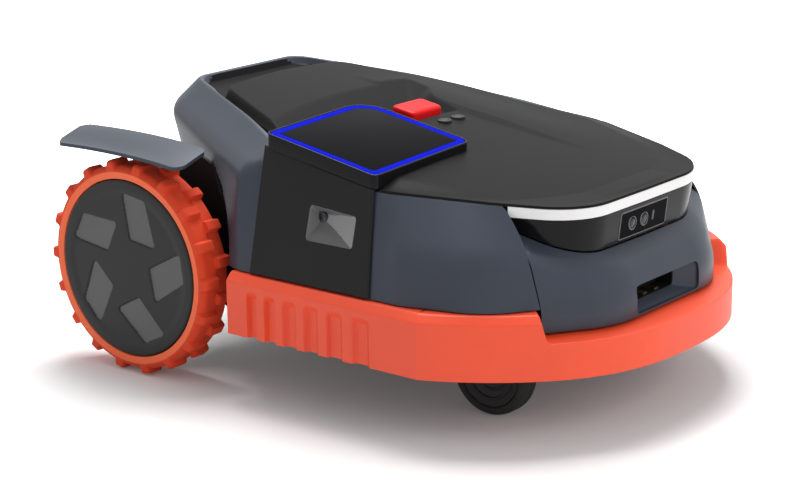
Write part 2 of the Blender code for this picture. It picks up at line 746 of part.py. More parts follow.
def build_display():
    """Display housing, its light frame, the glass and the panel down the shell's right side."""
    over = lambda p: display_top(p, -WALL)
    under = lambda p: display_top(p, 2 * TRAY_DEPTH)
    housing = part("display_housing", prism(display_outline(0.0), display_foot, display_top), "gloss_black")
    carve(housing, prism(display_outline(TRAY_IN), lambda p: display_top(p, TRAY_DEPTH), over))
    bed = lambda p: display_top(p, TRAY_DEPTH - SEAT)
    face = lambda p: display_top(p, SEAT)
    frame = part("display_light_frame", prism(display_outline(TRAY_IN + GAP), bed, face), "blue_plastic")
    carve(frame, prism(display_outline(TRAY_IN + FRAME_W), under, over))
    part("display_glass", prism(display_outline(TRAY_IN + FRAME_W + GAP), bed, face), "gloss_black")

    front = (DISPLAY_Y[0] - PANEL_FLARE, DISPLAY_Y[0] + TRAY_DEPTH)
    rear = (DISPLAY_Y[1] - PANEL_FLARE / 2, DISPLAY_Y[1] - TRAY_DEPTH / 2)
    loops = []
    for share in (0.0, 0.5, 1.0):
        loop = []
        for depth in (3 * GAP, PANEL_T):
            line = []
            for along in (0.0, 0.25, 0.5, 0.75, 1.0):
                y = mix(mix(*front, share), mix(*rear, share), along)
                z = mix(SILL_Z + WALL / 2, display_foot(Vector((0.0, y))) - 2 * GAP, share)
                line.append(Vector((-side_x(z) - depth, y, z)))
            loop += line if depth < PANEL_T else list(reversed(line))
        loops.append(loop)
    return part("right_side_panel", loft(loops), "grey_plastic")


def build_side_camera(shell, panel):
    """Faceted camera recess let into the side panel, with its lens."""
    ys = [DISPLAY_Y[0] + y for y in EYE_Y]
    zs = [SILL_Z + z for z in EYE_Z]

    def ring(shrink, depth):
        """Outline of the recess, drawn in by a margin, a depth behind the panel's face."""
        near = ys[0] + shrink
        far = ys[1] - shrink
        low = zs[0] + shrink
        high = zs[1] - shrink
        corners = ((near, low), (far, low), (far, high), (near, high - EYE_DROP))
        flat = fillet([(y, z, EYE_R) for y, z in corners], 3)
        return [Vector((-side_x(p.y) - PANEL_T + depth, p.x, p.y)) for p in flat]

    for piece in (panel, shell):
        carve(piece, loft([ring(-GAP, -EYE_DEPTH), ring(-GAP, 2 * EYE_DEPTH)]))
    bezel = part("side_camera_bezel", loft([ring(0.0, GAP), ring(0.0, EYE_DEPTH)]), "black_plastic")
    funnel = [ring(WALL / 3, -WALL), ring(WALL / 2, WALL / 3), ring(EYE_DEPTH * 0.6, EYE_DEPTH * 0.7)]
    carve(bezel, loft(funnel))
    spot = (0.0, DISPLAY_Y[0] + EYE_LENS[0], SILL_Z + EYE_LENS[1])
    back = -side_x(spot[2]) - PANEL_T + EYE_DEPTH * 0.78
    tip = back - EYE_LENS_R
    profile = [(EYE_LENS_R, back), (EYE_LENS_R, tip), (EYE_LENS_R * 0.8, tip - WALL / 3)]
    part("side_camera_lens", lathe(profile, spot, "X", 16), "lens_glass")
    carve(bezel, rod(EYE_LENS_R + GAP, back + SEAT, back - 2 * EYE_DEPTH, spot, "X", 16))


def bumper_nose():
    """Half of the bumper's front curve, with stations close together where the step is."""
    path = []
    for k in range(1, BUMPER_STEPS):
        a = pi / 2 * (1 - k / BUMPER_STEPS)
        path.append(Vector((BUMPER_X * cos(a) ** (2 / 2.63), BUMPER_BEND - BUMPER_RUN * sin(a) ** (2 / 1.16))))
    levels = step_levels(path)
    kept = []
    for k, point in enumerate(path):
        near = levels[max(k - 1, 0):k + 2]
        if k % 8 == 7 or 0.0 < max(near) and min(near) < 1.0:
            kept.append(point)
    return kept


def step_levels(path):
    """How far the step has risen at each station: it follows the fascia's seam, straight in from the path."""
    foot = inset(path, SILL_INSET + WALL - BUMPER_INSET, False)
    return [ease((abs(p.x) - SILL_X + SEAM_INSET - STEP_GAP) / STEP_RUN) for p in foot]


def bumper_path():
    """Outer path from the rear at -X round the nose to the rear at +X, with the depth of the flutes."""
    half = [Vector((0.0, FRONT))] + bumper_nose()
    depths = [0.0] * len(half)
    fronts = [BUMPER_REAR - FLUTE_FIRST]
    for k in range(FLUTES):
        ahead = fronts[-1] - FLUTE_PITCH * FLUTE_GROWTH ** k
        if ahead > BUMPER_BEND + FLUTE_DEPTH:
            fronts.append(ahead)
    side = [(BUMPER_BEND, 0.0)]
    for high, low in reversed(list(zip(fronts, fronts[1:]))):
        pitch = high - low
        side += [(low + 0.30 * pitch, 0.0), (low + 0.38 * pitch, FLUTE_DEPTH * 0.8),
                 (high - 0.25 * pitch, FLUTE_DEPTH), (high, 0.0)]
    side.append((BUMPER_REAR, 0.0))
    half += [Vector((BUMPER_X, y)) for y, _ in side]
    depths += [d for _, d in side]
    path = [Vector((-p.x, p.y)) for p in reversed(half[1:])] + half
    return path, list(reversed(depths[1:])) + depths


def build_bumper():
    """Skirt with a ledge at the front, a step at the fascia's seam and flutes that fade below a bevel."""
    path, cuts = bumper_path()
    talls = step_levels(path)
    crest = [mix(LEDGE_Z, BUMPER_TOP - BUMPER_BAND, t) for t in talls]
    bevel = [mix(LEDGE_LIP, BUMPER_BEVEL, t) for t in talls]
    deep = [mix(LEDGE_DEPTH, BUMPER_TOP_W, t) for t in talls]
    top = [mix(LEDGE_Z + GAP, BUMPER_TOP, t) for t in talls]
    inner = [mix(FASCIA_Z - GAP, BUMPER_TOP, t) for t in talls]
    fluted = inset(path, cuts, False)
    lower = inset(path, BUMPER_T, False)
    fade = [z - FLUTE_FADE for z in crest]
    back = inset(path, deep, False)
    under = inset(path, [b + FLOOR_T for b in bevel], False)
    rings = [
        raised(fluted, BUMPER_Z), levelled(fluted, fade), levelled(path, crest),
        levelled(inset(path, bevel, False), top), levelled(back, inner),
        levelled(back, [z - FLOOR_T for z in inner]), levelled(under, [z - FLOOR_T - GAP for z in top]),
        levelled(lower, fade), raised(lower, BUMPER_Z)]
    part("bumper_skirt", sections(rings), "orange_plastic")


def tyre(side):
    """Tyre with two staggered rows of lugs raised from single tread faces."""
    count = LUGS * 4
    step = 2 * pi / count
    bead = CAP_R + GAP
    middle = TYRE_X + TYRE_W / 2
    profile = [(bead, TYRE_X), (TREAD_R, TYRE_X), (TREAD_R, middle), (TREAD_R, WHEEL_X), (bead, WHEEL_X)]
    bm = bmesh.new()
    rows = []
    for k in range(count):
        a = step * (k - 0.5)
        rows.append([bm.verts.new((side * x, AXLE_Y + r * cos(a), AXLE_Z + r * sin(a))) for r, x in profile])
    lugs = []
    for k in range(count):
        ahead = rows[(k + 1) % count]
        for i in range(len(profile)):
            j = (i + 1) % len(profile)
            face = bm.faces.new((rows[k][i], rows[k][j], ahead[j], ahead[i]))
            if (i == 2 and k % 4 == 0) or (i == 1 and k % 4 == 2):
                lugs.append(face)
    bmesh.ops.recalc_face_normals(bm, faces=bm.faces)
    tops = bmesh.ops.extrude_discrete_faces(bm, faces=lugs)["faces"]
    for face in tops:
        spot = face.calc_center_median()
        centre = step * round(atan2(spot.z - AXLE_Z, spot.y - AXLE_Y) / step)
        for v in face.verts:
            turn = 1 if sin(atan2(v.co.z - AXLE_Z, v.co.y - AXLE_Y) - centre) > 0 else -1
            a = centre + turn * radians(LUG_HALF_DEG)
            x = mix(spot.x, v.co.x, 0.86)
            v.co = (x, AXLE_Y + WHEEL_R * cos(a), AXLE_Z + WHEEL_R * sin(a))
    return bm


def build_wheel(side, name):
    """One driven wheel with its motor, axle, rim, tyre and hub cap."""
    hub = (0.0, AXLE_Y, AXLE_Z)
    spin = (side * WHEEL_X, AXLE_Y, AXLE_Z)
    at = lambda profile: [(r, side * x) for r, x in profile]
    bore = AXLE_R + GAP
    start = HOUSE_X - MOTOR_L
    tip = HOUSE_X + NECK_L
    plate = HOUSE_X + FLANGE_T
    motor = [(bore, start), (MOTOR_R, start), (MOTOR_R, HOUSE_X), (FLANGE_R, HOUSE_X), (FLANGE_R, plate),
             (NECK_R, plate), (NECK_R, tip), (bore, tip)]
    part(name + "_drive_motor", lathe(at(motor), hub, "X", MOTOR_SIDES, True), "black_plastic")
    edge = WHEEL_X - CAP_T
    end = edge - FLOOR_T
    axle = rod(AXLE_R, side * (start + NECK_L), side * end, hub, "X", 24)
    part(name + "_axle", axle, "steel", spin)
    low = tip + TRAY_DEPTH
    web = mix(low, end, 0.505)
    lip = CAP_R - FLOOR_T
    shelf = CAP_R - CAP_T
    back = TYRE_X + TRAY_IN
    face = web + CAP_T
    rim = [(bore, low), (BOSS_R, low), (BOSS_R, web), (lip, web), (lip, back), (CAP_R, back), (CAP_R, edge),
           (shelf, edge), (shelf, face), (BOSS_R, face), (BOSS_R, end), (bore, end)]
    part(name + "_wheel_rim", lathe(at(rim), hub, "X", 18, True), "black_plastic", spin)
    part(name + "_tyre", tyre(side), "orange_rubber", spin)
    disc = [(CAP_R, edge + GAP), (CAP_R, WHEEL_X - CAP_BEVEL), (CAP_R - CAP_BEVEL, WHEEL_X)]
    cap = part(name + "_hub_cap", lathe(at(disc), hub, "X", 48), "grey_plastic", spin)
    for k in range(POCKETS):
        turn = radians(POCKET_DEG) + 2 * pi * k / POCKETS
        spots = [(r * cos(a + turn), r * sin(a + turn)) for r, a in POCKET]
        loops = []
        for x in (WHEEL_X - POCKET_T, WHEEL_X + POCKET_T):
            loops.append([Vector((side * x, AXLE_Y + u, AXLE_Z + v)) for u, v in spots])
        carve(cap, loft(loops))


def guard_z(x):
    """Top of a mudguard at a distance from the machine's middle."""
    return mix(GUARD_Z, GUARD_Z + GUARD_RISE, ease((WHEEL_X - x) / (GUARD_W + LEDGE_W)) ** 0.8)


def build_guard(side, name):
    """One mudguard on its bracket, and the liner of the wheel arch."""
    inner = WHEEL_X - GAP - GUARD_W
    stations = []
    for k in range(11):
        share = k / 10
        y = mix(AXLE_Y - GUARD_AHEAD, AXLE_Y + GUARD_BEHIND, share)
        near = GUARD_CORNER * (max(0.0, 1 - share / 0.08) ** 2 + max(0.0, (share - 0.90) / 0.10) ** 2)
        xs = [mix(WHEEL_X - GAP - near, inner + near, m / 5) for m in range(6)]
        top = [Vector((side * x, y, guard_z(x))) for x in xs]
        low = [p - Vector((0.0, 0.0, WALL)) for p in top]
        stations.append(top + list(reversed(low)))
    part(name + "_mudguard", loft(stations), "slate_plastic")

    plate = HOUSE_X + WALL
    foot = side * (plate + SEAT)
    ys = (AXLE_Y + ARM_Y[0], AXLE_Y + ARM_Y[1])
    tip = side * (inner + ARM_IN)
    arm = [(foot, ys[0]), (side * (inner + LEDGE_W), ys[0] + ARM_RUN), (tip, ys[0] + ARM_RUN), (tip, ys[1]),
           (foot, ys[1])]
    shelf = GUARD_Z - WALL - SEAT
    roof = lambda p: min(guard_z(max(abs(p.x), inner)) - WALL - SEAT, GUARD_Z + WALL)
    part(name + "_mudguard_bracket", prism(arm, shelf - GAP, roof), "black_plastic")

    rise = [radians(mix(LINER_DEG[0], LINER_DEG[1], k / 16)) for k in range(17)]
    reach = ARCH_R - GAP
    arc = [(AXLE_Y - reach * cos(a), AXLE_Z + reach * sin(a)) for a in rise]
    arc.append((arc[-1][0], arc[0][1]))
    wall = loft([[Vector((side * x, y, z)) for y, z in arc] for x in (HOUSE_X + GAP, plate)])
    liner = part(name + "_arch_liner", wall, "black_plastic")
    loops = []
    for k in range(15):
        a = radians(mix(LINER_DEG[0], LINER_DEG[2], k / 14))
        x = HOUSE_X + mix(LINER_LOW_W, LINER_HIGH_W, k / 14)
        root = plate - WALL / 3
        top = reach - WALL / 3
        band = ((root, top), (x, top), (x, top - POCKET_T), (root, top - POCKET_T))
        loops.append([Vector((side * u, AXLE_Y - r * cos(a), AXLE_Z + r * sin(a))) for u, r in band])
    carve(liner, loft(loops), "UNION")
    hub = (0.0, AXLE_Y, AXLE_Z)
    carve(liner, rod(FLANGE_R + GAP, side * (HOUSE_X - FLANGE_T), side * (HOUSE_X + NECK_L), hub, "X", MOTOR_SIDES))


def build_chassis():
    """Open tub with the guide tower of the cutter, two caster sockets and two motor cradles."""
    roof = SILL_Z - SEAT
    nose = FRONT + TUB_NOSE
    tail = REAR - TUB_TAIL
    outline = fillet(mirrored([
        (0.0, nose, 0.0), (TUB_NOSE_HALF, nose, 0.05), (TUB_X, FRONT + TUB_SIDE, 0.06),
        (TUB_X, TUB_STEP_Y, 0.006), (TUB_REAR_X, TUB_STEP_Y, 0.004), (TUB_REAR_X, tail, 0.03),
        (0.0, tail, 0.0)]), 2)
    tub = part("chassis_tub", prism(outline, FLOOR_Z, roof), "black_plastic")
    carve(tub, prism(inset(outline, WALL), FLOOR_Z + FLOOR_T, 2 * roof))
    sunk = FLOOR_Z + WALL / 3
    middle = (0.0, CUT_Y, 0.0)
    carve(tub, rod(CARRIAGE_R + GAP + TOWER_T, sunk, FLOOR_Z + TOWER_H, middle, "Z", 28), "UNION")
    carve(tub, rod(CARRIAGE_R + 2 * GAP, 0.0, 2 * roof, middle, "Z", 28))
    for side in (-1, 1):
        pivot = (side * CASTER_X, CASTER_Y - CASTER_TRAIL, 0.0)
        carve(tub, rod(SOCKET_R, sunk, FLOOR_Z + STEM_RISE + FLOOR_T, pivot, "Z", 16), "UNION")
        carve(tub, rod(STEM_R + GAP, 0.0, 2 * roof, pivot, "Z", 16))
        reach = HOUSE_X - MOTOR_L - FLOOR_T
        hub = (0.0, AXLE_Y, AXLE_Z)
        carve(tub, rod(MOTOR_R + GAP, side * reach, side * WHEEL_X, hub, "X", MOTOR_SIDES))


def build_inside():
    """Battery, control box, antenna and the charging socket with its contacts."""
    front = FRONT + BATTERY_BACK
    pack = rounded((-BATTERY_W / 2, BATTERY_W / 2), (front, front + BATTERY_L), 0.010)
    part("battery_pack", prism(pack, DECK_Z, DECK_Z + BATTERY_H), "black_plastic")
    back = REAR - BOX_TAIL
    half = HOUSE_X - MOTOR_L - BOX_GAP
    box = rounded((-half, half), (back - BOX_L, back), 0.008)
    part("control_box", prism(box, DECK_Z, DECK_Z + BOX_H), "grey_plastic")
    spot = (0.0, REAR - ANTENNA_TAIL, 0.0)
    top = crown_z(0.0, spot[1]) - ANTENNA_GAP
    dish = top - ANTENNA_T
    foot = DECK_Z + BOX_H + SEAT
    stack = [(ANTENNA_STEM, foot), (ANTENNA_STEM, dish - FLOOR_T), (ANTENNA_R, dish), (ANTENNA_R, top)]
    part("satellite_antenna", lathe(stack, spot, "Z"), "white_plastic")

    back = FRONT + TUB_NOSE - SEAT
    face = back - SOCKET_L
    sole = FASCIA_Z + 3 * GAP
    ends = (-SOCKET_HALF, SOCKET_HALF)
    body = part("charging_socket", block(ends, (face, back), (sole, sole + SOCKET_H)), "black_plastic")
    low = FASCIA_Z + SLOT_FLOOR
    mouth = rounded((MOUTH_IN - SLOT_HALF, SLOT_HALF - MOUTH_IN), (low + GAP, low + SLOT_H - GAP), 2 * WALL)
    middle = low + SLOT_H / 2
    floor = middle - THROAT_H / 2
    throat = rounded((-THROAT_HALF, THROAT_HALF), (floor, middle + THROAT_H / 2), FLOOR_T)
    neck = mix(face, back, 0.3)
    deep = back - WALL
    funnel = ((mouth, face - SOCKET_L), (mouth, face + GAP), (throat, neck), (throat, deep))
    carve(body, loft([[Vector((p.x, y, p.y)) for p in ring] for ring, y in funnel]))
    for name, x in (("charging_contact_right", -CONTACT_X), ("charging_contact_left", CONTACT_X)):
        xs = (x - CONTACT_W / 2, x + CONTACT_W / 2)
        part(name, block(xs, (neck + POCKET_T, deep - SEAT), (floor + SEAT, floor + POCKET_T)), "brass")


def build_caster(side, name):
    """Swivelling fork, its axle, the wheel and its tyre."""
    x = side * CASTER_X
    pivot = (x, CASTER_Y - CASTER_TRAIL, 0.0)
    hub = (x, CASTER_Y, CASTER_R)
    crown = CASTER_R * 2 + CASTER_GAP
    half = (CASTER_W + CASTER_GAP) / 2
    sunk = crown + CASTER_GAP
    ys = (pivot[1] - STEM_R - 2 * FORK_T, CASTER_Y + PIN_R + FORK_T)
    arch = block((x - half - FORK_T, x + half + FORK_T), ys, (crown, crown + 2 * CASTER_GAP))
    fork = part(name + "_caster_fork", arch, "black_plastic", pivot)
    carve(fork, rod(STEM_R, sunk, FLOOR_Z + STEM_RISE, pivot, "Z", 16), "UNION")
    carve(fork, rod(SOCKET_R - WALL / 3, sunk, FLOOR_Z - GAP, pivot, "Z", 16), "UNION")
    boss = PIN_R + FORK_T + WALL / 3
    for near in (-1, 1):
        top = crown + CASTER_GAP / 2
        leg = [(ys[0] + FORK_T, top), (ys[1] - GAP, top), (CASTER_Y + boss, CASTER_R),
               (CASTER_Y, CASTER_R - boss), (CASTER_Y - boss, CASTER_R)]
        plates = [[Vector((x + near * w, y, z)) for y, z in leg] for w in (half, half + FORK_T)]
        carve(fork, loft(plates), "UNION")
    carve(fork, rod(PIN_R + GAP, -CASTER_W * 2, CASTER_W * 2, hub, "X", 12))
    end = half + FORK_T + WALL / 3
    part(name + "_caster_axle", rod(PIN_R, -end, end, hub, "X", 12), "steel", hub)
    bead = CASTER_R - CASTER_TYRE
    web = CASTER_W / 5
    face = CASTER_W / 2 + CASTER_GAP / 3
    half_wheel = [(PIN_R + GAP, face), (STEM_R + WALL, face), (STEM_R + 2 * WALL, web), (bead, 2 * web)]
    wheel = [(r, -u) for r, u in half_wheel] + list(reversed(half_wheel))
    part(name + "_caster_wheel", lathe(wheel, hub, "X", 18, True), "grey_plastic", hub)
    half_ring = [(bead + SEAT, 2.2 * web), (CASTER_R - FORK_T, 2.5 * web), (CASTER_R, 1.3 * web)]
    ring = [(r, -u) for r, u in half_ring] + list(reversed(half_ring))
    part(name + "_caster_tyre", lathe(ring, hub, "X", 18, True), "black_rubber", hub)


def build_lift():
    """Carriage on two guide rods, with the screw and motor that raise it."""
    middle = (0.0, CUT_Y, 0.0)
    bottom = DISC_Z + DISC_T + DISC_GAP
    top = PLATE_Z + PLATE_T
    tube = rod(CARRIAGE_R, bottom, PLATE_Z + FLOOR_T, middle, "Z", 28)
    carriage = part("cutter_carriage", tube, "grey_plastic", (0.0, CUT_Y, PLATE_Z))
    rear_x = ROD_AT[0] - SOCKET_R
    wide = CARRIAGE_R + POCKET_T
    slim = CARRIAGE_R - FLOOR_T
    yoke = fillet([(rear_x, CUT_Y - wide, 0.010), (slim, CUT_Y - slim, 0.030), (LIFT_X + LIFT_R, CUT_Y, 0.012),
                   (slim, CUT_Y + slim, 0.030), (rear_x, CUT_Y + wide, 0.010)], 3)
    carve(carriage, prism(yoke, PLATE_Z, top), "UNION")
    rods = ((ROD_AT[0], CUT_Y - ROD_AT[1]), (ROD_AT[0], CUT_Y + ROD_AT[1]))
    for x, y in rods + ((LIFT_X, CUT_Y),):
        carve(carriage, rod(ROD_R + GAP, FLOOR_Z, 2 * top, (x, y, 0.0), "Z", 14))
    carve(carriage, rod(SPINDLE_R + GAP, DISC_Z, bottom + SPINDLE_L, middle, "Z", 20))
    for name, (x, y) in zip(("guide_rod_front", "guide_rod_rear"), rods):
        part(name, rod(ROD_R, DECK_Z, ROD_TOP, (x, y, 0.0), "Z", 14), "steel")
    post = (LIFT_X, CUT_Y, 0.0)
    part("lift_motor", rod(LIFT_R, DECK_Z, LIFT_TOP, post, "Z", 24), "black_plastic")
    screw = rod(ROD_R, LIFT_TOP + SEAT, ROD_TOP + WALL, post, "Z", 14)
    part("lift_screw", screw, "steel", (LIFT_X, CUT_Y, LIFT_TOP))


def build_cutter():
    """Cutting disc with its spindle and three swinging blades."""
    middle = (0.0, CUT_Y, 0.0)
    bottom = DISC_Z + DISC_T + DISC_GAP
    roof = DISC_Z + DISC_T + DISC_GAP / 2
    profile = [(LIFT_R + POCKET_T, DISC_Z - DISC_T), (LIFT_R + 3 * POCKET_T, DISC_Z), (DISC_R, DISC_Z),
               (DISC_R, DISC_Z + DISC_T), (2 * SPINDLE_R, roof), (SPINDLE_R, roof),
               (SPINDLE_R, bottom + SPINDLE_L - WALL / 3)]
    disc = part("cutter_disc", lathe(profile, middle, "Z"), "black_plastic", (0.0, CUT_Y, DISC_Z))
    for k in range(BLADES):
        a = 2 * pi * k / BLADES + pi / 2
        spot = (BLADE_RING * cos(a), CUT_Y + BLADE_RING * sin(a), 0.0)
        neck = DISC_Z - BLADE_T - 2 * SEAT
        head = STUD_R + POCKET_T
        stud = [(head, neck - POCKET_T), (head, neck), (STUD_R, neck), (STUD_R, DISC_Z + GAP)]
        carve(disc, lathe(stud, spot, "Z", 12), "UNION")
        along = Vector((cos(a), sin(a)))
        across = Vector((-sin(a), cos(a)))
        tip = BLADE_L - BLADE_HALF - WALL / 3
        cut = FLOOR_T
        half = [(-BLADE_HALF, cut - BLADE_HALF), (cut - BLADE_HALF, -BLADE_HALF), (tip - cut, -BLADE_HALF),
                (tip, cut - BLADE_HALF)]
        shape = half + [(u, -v) for u, v in reversed(half)]
        outline = [Vector(spot[:2]) + along * u + across * v for u, v in shape]
        sheet = prism(outline, DISC_Z - SEAT - BLADE_T, DISC_Z - SEAT)
        blade = part("blade_%d" % (k + 1), sheet, "steel", (spot[0], spot[1], DISC_Z))
        carve(blade, rod(STUD_R + GAP, 0.0, 2 * DISC_Z, spot, "Z", 12))


def build():
    """Every piece of the machine."""
    for old in list(bpy.data.objects):
        bpy.data.objects.remove(old)
    build_chassis()
    shell = build_shell()
    build_fascia()
    build_nose()
    build_cover()
    build_controls()
    panel = build_display()
    build_side_camera(shell, panel)
    build_bumper()
    for side, name in ((-1, "right"), (1, "left")):
        build_wheel(side, name)
        build_guard(side, name)
        build_caster(side, name)
    build_inside()
    build_lift()
    build_cutter()
    for made in bpy.data.objects:
        made.data.shade_smooth()
        made.data.set_sharp_from_angle(angle=radians(32))


build()
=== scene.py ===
"""Looks of a robotic lawn mower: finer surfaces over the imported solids, finishes, light and camera."""
import json
import logging
from dataclasses import dataclass
from enum import Enum
from math import cos, pi, radians, sin
from typing import Callable, Optional, Union

import bpy
import numpy as np
from mathutils import Matrix, Vector


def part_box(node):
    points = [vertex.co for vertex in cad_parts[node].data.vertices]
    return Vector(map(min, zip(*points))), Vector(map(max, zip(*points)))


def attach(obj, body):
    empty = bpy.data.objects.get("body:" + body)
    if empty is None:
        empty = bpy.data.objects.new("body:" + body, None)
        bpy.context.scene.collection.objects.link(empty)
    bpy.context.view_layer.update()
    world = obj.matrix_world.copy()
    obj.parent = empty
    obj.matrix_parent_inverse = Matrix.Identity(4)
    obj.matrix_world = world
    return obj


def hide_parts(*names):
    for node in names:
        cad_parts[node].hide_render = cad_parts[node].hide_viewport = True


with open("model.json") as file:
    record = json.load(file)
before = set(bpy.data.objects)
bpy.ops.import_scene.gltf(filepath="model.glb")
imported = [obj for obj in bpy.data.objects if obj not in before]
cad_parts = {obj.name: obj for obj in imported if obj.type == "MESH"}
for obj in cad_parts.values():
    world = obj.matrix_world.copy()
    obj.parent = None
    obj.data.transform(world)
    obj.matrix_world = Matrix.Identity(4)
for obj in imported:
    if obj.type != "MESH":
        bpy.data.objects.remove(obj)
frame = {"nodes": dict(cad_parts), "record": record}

LOG = logging.getLogger("mower")
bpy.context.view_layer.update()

Colour = tuple[float, float, float]
Value = Union["Signal", float, Colour]


class Body(Enum):
    """Rigid bodies of the frame that the pieces ride on."""

    CHASSIS = "chassis"
    BUMPER = "bumper"
    RIGHT_WHEEL = "right_wheel"
    LEFT_WHEEL = "left_wheel"
    STOP = "stop_button"
    POWER_KEY = "power_key"
    MENU_KEY = "menu_key"
    RIGHT_CASTER = "right_caster_wheel"
    LEFT_CASTER = "left_caster_wheel"


class Signal:
    """Shader socket that takes part in plain arithmetic."""

    def __init__(self, tree: "Tree", socket: bpy.types.NodeSocket) -> None:
        """Keep the socket with the tree it belongs to."""
        self.tree = tree
        self.socket = socket

    def __add__(self, other: Value) -> "Signal":
        """Sum."""
        return self.tree.math("ADD", self, other)

    def __sub__(self, other: Value) -> "Signal":
        """Difference."""
        return self.tree.math("SUBTRACT", self, other)

    def __mul__(self, other: Value) -> "Signal":
        """Product."""
        return self.tree.math("MULTIPLY", self, other)

    def __truediv__(self, other: Value) -> "Signal":
        """Quotient."""
        return self.tree.math("DIVIDE", self, other)

    def __pow__(self, other: Value) -> "Signal":
        """Power."""
        return self.tree.math("POWER", self, other)

    def __neg__(self) -> "Signal":
        """Negative."""
        return self.tree.math("MULTIPLY", self, -1.0)

    def __radd__(self, other: Value) -> "Signal":
        """Reflected sum."""
        return self.tree.math("ADD", other, self)

    def __rsub__(self, other: Value) -> "Signal":
        """Reflected difference."""
        return self.tree.math("SUBTRACT", other, self)

    def __rmul__(self, other: Value) -> "Signal":
        """Reflected product."""
        return self.tree.math("MULTIPLY", other, self)

    def __rtruediv__(self, other: Value) -> "Signal":
        """Reflected quotient."""
        return self.tree.math("DIVIDE", other, self)

    def above(self, level: Value) -> "Signal":
        """1 where the signal is over a level, else 0."""
        return self.tree.math("GREATER_THAN", self, level)

    def ramp(self, low: float, high: float) -> "Signal":
        """Smooth step from 0 at low to 1 at high."""
        return self.tree.node("ShaderNodeMapRange", {"Value": self, "From Min": low, "From Max": high},
                              interpolation_type="SMOOTHSTEP", clamp=True)


class Tree:
    """Node tree of one material or world, with short ways to add nodes."""

    def __init__(self, owner: Union[bpy.types.Material, bpy.types.World]) -> None:
        """Empty the owner's tree."""
        owner.use_nodes = True
        self.nodes = owner.node_tree.nodes
        self.links = owner.node_tree.links
        self.nodes.clear()

    def node(self, kind: str, inputs: dict[Union[str, int], Value], output: Union[str, int] = 0,
             **settings: object) -> Signal:
        """Add a node.

        Args:
            kind: Blender's node type.
            inputs: values or signals by socket name or number.
            output: name or number of the socket handed back.
            **settings: properties of the node.

        Returns:
            The chosen output as a signal.
        """
        made = self.nodes.new(kind)
        for key, value in settings.items():
            setattr(made, key, value)
        for key, value in inputs.items():
            if isinstance(value, Signal):
                self.links.new(value.socket, made.inputs[key])
            elif isinstance(value, tuple) and len(value) == 3 and len(made.inputs[key].default_value) == 4:
                made.inputs[key].default_value = (*value, 1.0)
            else:
                made.inputs[key].default_value = value
        return Signal(self, made.outputs[output])

    def math(self, operation: str, a: Value, b: Value) -> Signal:
        """Two-sided arithmetic on numbers."""
        return self.node("ShaderNodeMath", {0: a, 1: b}, operation=operation)

    def blend(self, share: Value, a: Value, b: Value) -> Signal:
        """Colour that goes from a to b with the share."""
        return self.node("ShaderNodeMix", {0: share, 6: a, 7: b}, 2, data_type="RGBA")

    def place(self) -> Signal:
        """Object coordinates in metres."""
        return self.node("ShaderNodeTexCoord", {}, "Object")

    def axis(self, place: Signal, name: str) -> Signal:
        """One coordinate of a place."""
        return self.node("ShaderNodeSeparateXYZ", {0: place}, name)

    def noise(self, place: Signal, scale: float, detail: float = 2.0, roughness: float = 0.5) -> Signal:
        """Cloudy noise from 0 to 1."""
        return self.node("ShaderNodeTexNoise", {"Vector": place, "Scale": scale, "Detail": detail,
                                                "Roughness": roughness}, "Fac")

    def bump(self, height: Signal, depth: float, strength: float = 1.0,
             base: Optional[Signal] = None) -> Signal:
        """Normal bent by a height field of the given depth in metres."""
        inputs: dict[Union[str, int], Value] = {"Height": height, "Distance": depth, "Strength": strength}
        if base is not None:
            inputs["Normal"] = base
        return self.node("ShaderNodeBump", inputs)

    def finish(self, shader: Signal) -> None:
        """Send a shader to the surface."""
        end = self.nodes.new("ShaderNodeOutputMaterial")
        self.links.new(shader.socket, end.inputs["Surface"])


@dataclass(frozen=True)
class Finish:
    """Moulded or metal finish with fine grain and cloudy colour.

    Attributes:
        name: name of the material.
        colour: base colour.
        roughness: mean roughness.
        metallic: 1 for bare metal.
        grain: grains per metre.
        relief: depth of the grain in metres.
        mottle: share by which the colour clouds over.
        coat: weight of a clear top layer.
        glow: strength of the finish's own light.
        specular: level of the plain reflection.
    """

    name: str
    colour: Colour
    roughness: float
    metallic: float = 0.0
    grain: float = 1500.0
    relief: float = 0.00004
    mottle: float = 0.05
    coat: float = 0.0
    glow: float = 0.0
    specular: float = 0.5

    def material(self) -> bpy.types.Material:
        """Make the material once and hand it back.

        Returns:
            The material with this finish's name.
        """
        if self.name in bpy.data.materials:
            return bpy.data.materials[self.name]
        made = bpy.data.materials.new(self.name)
        tree = Tree(made)
        place = tree.place()
        cloud = tree.noise(place, 14.0, 4.0, 0.6)
        speck = tree.noise(place, self.grain, 3.0, 0.6)
        dark = tuple(c * (1.0 - self.mottle) for c in self.colour)
        pale = tuple(min(c * (1.0 + self.mottle), 1.0) for c in self.colour)
        colour = tree.blend(cloud.ramp(0.3, 0.7), dark, pale)
        worn = self.roughness + (speck - 0.5) * 0.16 + (cloud - 0.5) * 0.10
        inputs: dict[Union[str, int], Value] = {
            "Base Color": colour, "Roughness": worn, "Metallic": self.metallic, "Coat Weight": self.coat,
            "Coat Roughness": 0.08, "Specular IOR Level": self.specular,
            "Normal": tree.bump(speck, self.relief, 0.6)}
        if self.glow > 0.0:
            inputs["Emission Color"] = colour
            inputs["Emission Strength"] = self.glow
        tree.finish(tree.node("ShaderNodeBsdfPrincipled", inputs))
        return made


